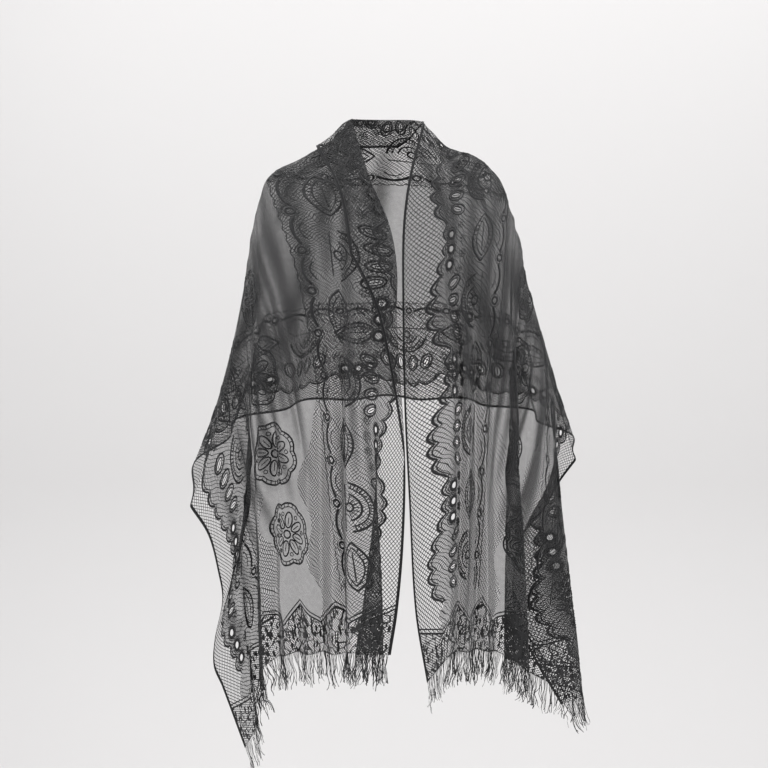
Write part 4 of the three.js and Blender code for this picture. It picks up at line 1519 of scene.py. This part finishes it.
class SHAWL_OT_cloth(bpy.types.Operator):
    """Make the stretches of lace cloth"""

    bl_idname = "shawl.cloth"
    bl_label = "Lace cloth"

    def execute(self, context):
        sizes = context.scene.shawl_cloth
        step, thickness = sizes.step / MM, sizes.thickness / MM
        for name in LACE_PIECES:
            places, faces, zones = flat_piece(name, step)
            points, polygons, owner = shell_of(places, faces, thickness)
            piece = new_object(f"lace_{name}", points, polygons, lace_materials())
            piece.data.polygons.foreach_set("material_index", np.concatenate([zones, zones, zones[owner]]))
            wear(piece)
            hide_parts(name)
            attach(piece, "root")
        return {"FINISHED"}


class SHAWL_OT_border(bpy.types.Operator):
    """Make the raised figures of the two long borders"""

    bl_idname = "shawl.border"
    bl_label = "Border figures"

    def execute(self, context):
        tree = repeat_tree("Border repeats")
        first = (-REPEATS * REPEAT / 2, 0, 0)
        strands = border_strands()
        over = [Strand(turned_over(points), width, closed) for points, width, closed in strands]
        dress(repeated(raised("border_neck_edge", strands), tree, REPEATS, first, REPEAT))
        dress(repeated(raised("border_outer_edge", over), tree, REPEATS, first, REPEAT))
        return {"FINISHED"}


class SHAWL_OT_field(bpy.types.Operator):
    """Make the round flowers of the plain field"""

    bl_idname = "shawl.field"
    bl_label = "Field figures"

    def execute(self, context):
        tree = repeat_tree("Field repeats")
        for name, sign in (("field_left_rosettes", -1), ("field_right_rosettes", 1)):
            first = (sign * FLOWER_START, WIDTH / 2, 0)
            flower = raised(name, rosette_strands())
            dress(repeated(flower, tree, FLOWERS, first, sign * FLOWER_SPACING))
        return {"FINISHED"}


class SHAWL_OT_ends(bpy.types.Operator):
    """Make the ribbons and petals of the two short ends"""

    bl_idname = "shawl.ends"
    bl_label = "End figures"

    def execute(self, context):
        for name, sign in (("end_left_figures", -1), ("end_right_figures", 1)):
            strands = [Strand(points * [sign, 1], width, closed) for points, width, closed in end_strands()]
            dress(raised(name, strands, [outline_material()]))
        return {"FINISHED"}


class SHAWL_OT_selvage(bpy.types.Operator):
    """Make the firm line of the two long edges"""

    bl_idname = "shawl.selvage"
    bl_label = "Firm long edges"

    def execute(self, context):
        us = np.arange(-LENGTH / 2 + 1, LENGTH / 2, 4.0)
        for name, edge, sign in (("selvage_neck_edge", 0, 1), ("selvage_outer_edge", WIDTH, -1)):
            strands = []
            for offset, width in EDGE_THREADS:
                line = np.stack([us, np.full_like(us, edge + sign * offset)], axis=1)
                strands.append(Strand(line, width, False))
            dress(raised(name, strands, [outline_material()]))
        return {"FINISHED"}


class SHAWL_OT_fringe(bpy.types.Operator):
    """Make the two fringed ends"""

    bl_idname = "shawl.fringe"
    bl_label = "Fringe"

    def execute(self, context):
        sizes = context.scene.shawl_cloth
        tree = fringe_tree("Fringe strands")
        material = fringe_material(context.scene.shawl_look)
        spacing = (WIDTH - 2 * FRINGE_MARGIN) / sizes.fringe_count
        for seed, side in FRINGE_SEEDS:
            piece = new_object(f"fringe_strands_{side}", [(0, 0, 0)], [])
            with_tree(piece, tree, {
                "Count": sizes.fringe_count,
                "Start": (LENGTH / 2 - FRINGE_MARGIN, FRINGE_MARGIN, 0),
                "Spacing": (0, spacing, 0),
                "Length": sizes.fringe_length / MM,
                "Radius": sizes.fringe_radius / MM,
                "Seed": seed,
                "Material": material,
            })
            if side == "left":
                turn_round(piece.data)
            wear(piece)
            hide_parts(f"fringe_{side}")
            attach(piece, "root")
        return {"FINISHED"}


def make_backdrop(stage):
    """A pale floor that curves up into a wall behind the shawl."""
    start = WALL_Y - FLOOR_BEND
    profile = [(FLOOR_START, FLOOR_Z), (start, FLOOR_Z)]
    for angle in np.linspace(0, math.pi / 2, BEND_STEPS + 1)[1:]:
        profile.append((start + FLOOR_BEND * math.sin(angle), FLOOR_Z + FLOOR_BEND * (1 - math.cos(angle))))
    profile.append((WALL_Y, WALL_TOP))
    points = [(x, y, z) for y, z in profile for x in (-BACKDROP_HALF, BACKDROP_HALF)]
    faces = [(2 * k, 2 * k + 1, 2 * k + 3, 2 * k + 2) for k in range(len(profile) - 1)]
    material = bpy.data.materials.new("Pale paper")
    material.use_nodes = True
    skin = material.node_tree.nodes["Principled BSDF"]
    skin.inputs["Base Color"].default_value = (*stage.backdrop_colour, 1)
    skin.inputs["Roughness"].default_value = 0.9
    backdrop = new_object("backdrop", points, faces, [material])
    backdrop.data.polygons.foreach_set("use_smooth", np.ones(len(faces), bool))


def make_lights():
    for lamp in LAMPS:
        light = bpy.data.lights.new(lamp.name, "AREA")
        light.shape = "RECTANGLE"
        light.size = lamp.width
        light.size_y = lamp.height
        light.energy = lamp.watts
        obj = bpy.data.objects.new(lamp.name, light)
        obj.location = lamp.place
        aim = Vector(lamp.aim) - Vector(lamp.place)
        obj.rotation_euler = aim.to_track_quat("-Z", "Y").to_euler()
        bpy.context.scene.collection.objects.link(obj)
    world = bpy.data.worlds.new("soft room")
    world.use_nodes = True
    background = world.node_tree.nodes["Background"].inputs
    background["Color"].default_value = (0.93, 0.93, 0.95, 1)
    background["Strength"].default_value = 0.50
    bpy.context.scene.world = world


def make_camera(context, stage):
    data = bpy.data.cameras.new("camera")
    data.sensor_width = SENSOR_WIDTH
    data.lens = SENSOR_WIDTH * stage.distance / stage.view_width
    data.clip_end = 50
    camera = bpy.data.objects.new("camera", data)
    aim = Vector((stage.look_x, 0, stage.look_z))
    back = Vector((0, -math.cos(stage.elevation), math.sin(stage.elevation)))
    camera.location = aim + back * stage.distance
    camera.rotation_euler = (-back).to_track_quat("-Z", "Y").to_euler()
    context.scene.collection.objects.link(camera)
    context.scene.camera = camera
    context.scene.view_settings.view_transform = "Standard"
    context.scene.cycles.transparent_max_bounces = 64


class SHAWL_OT_stage(bpy.types.Operator):
    """Make the backdrop, the light and the camera"""

    bl_idname = "shawl.stage"
    bl_label = "Stage"

    def execute(self, context):
        stage = context.scene.shawl_stage
        make_backdrop(stage)
        make_lights()
        make_camera(context, stage)
        return {"FINISHED"}


class SHAWL_PT_panel(bpy.types.Panel):
    """The sizes and the pieces of the lace shawl"""

    bl_label = "Lace Shawl"
    bl_idname = "SHAWL_PT_panel"
    bl_space_type = "VIEW_3D"
    bl_region_type = "UI"
    bl_category = "Lace Shawl"

    def draw(self, context):
        for group in (context.scene.shawl_cloth, context.scene.shawl_look, context.scene.shawl_stage):
            box = self.layout.box()
            for name in group.__annotations__:
                box.prop(group, name)
        for operator in OPERATORS:
            self.layout.operator(operator.bl_idname)


OPERATORS = [
    SHAWL_OT_cloth,
    SHAWL_OT_border,
    SHAWL_OT_field,
    SHAWL_OT_ends,
    SHAWL_OT_selvage,
    SHAWL_OT_fringe,
    SHAWL_OT_stage,
]
CLASSES = [ShawlCloth, ShawlLook, ShawlStage, *OPERATORS, SHAWL_PT_panel]


def register():
    for cls in CLASSES:
        bpy.utils.register_class(cls)
    bpy.types.Scene.shawl_cloth = bpy.props.PointerProperty(type=ShawlCloth)
    bpy.types.Scene.shawl_look = bpy.props.PointerProperty(type=ShawlLook)
    bpy.types.Scene.shawl_stage = bpy.props.PointerProperty(type=ShawlStage)


def unregister():
    del bpy.types.Scene.shawl_stage
    del bpy.types.Scene.shawl_look
    del bpy.types.Scene.shawl_cloth
    for cls in reversed(CLASSES):
        bpy.utils.unregister_class(cls)


def main():
    register()
    bpy.ops.shawl.cloth()
    bpy.ops.shawl.border()
    bpy.ops.shawl.field()
    bpy.ops.shawl.ends()
    bpy.ops.shawl.selvage()
    bpy.ops.shawl.fringe()
    bpy.ops.shawl.stage()


if __name__ == "__main__":
    main()
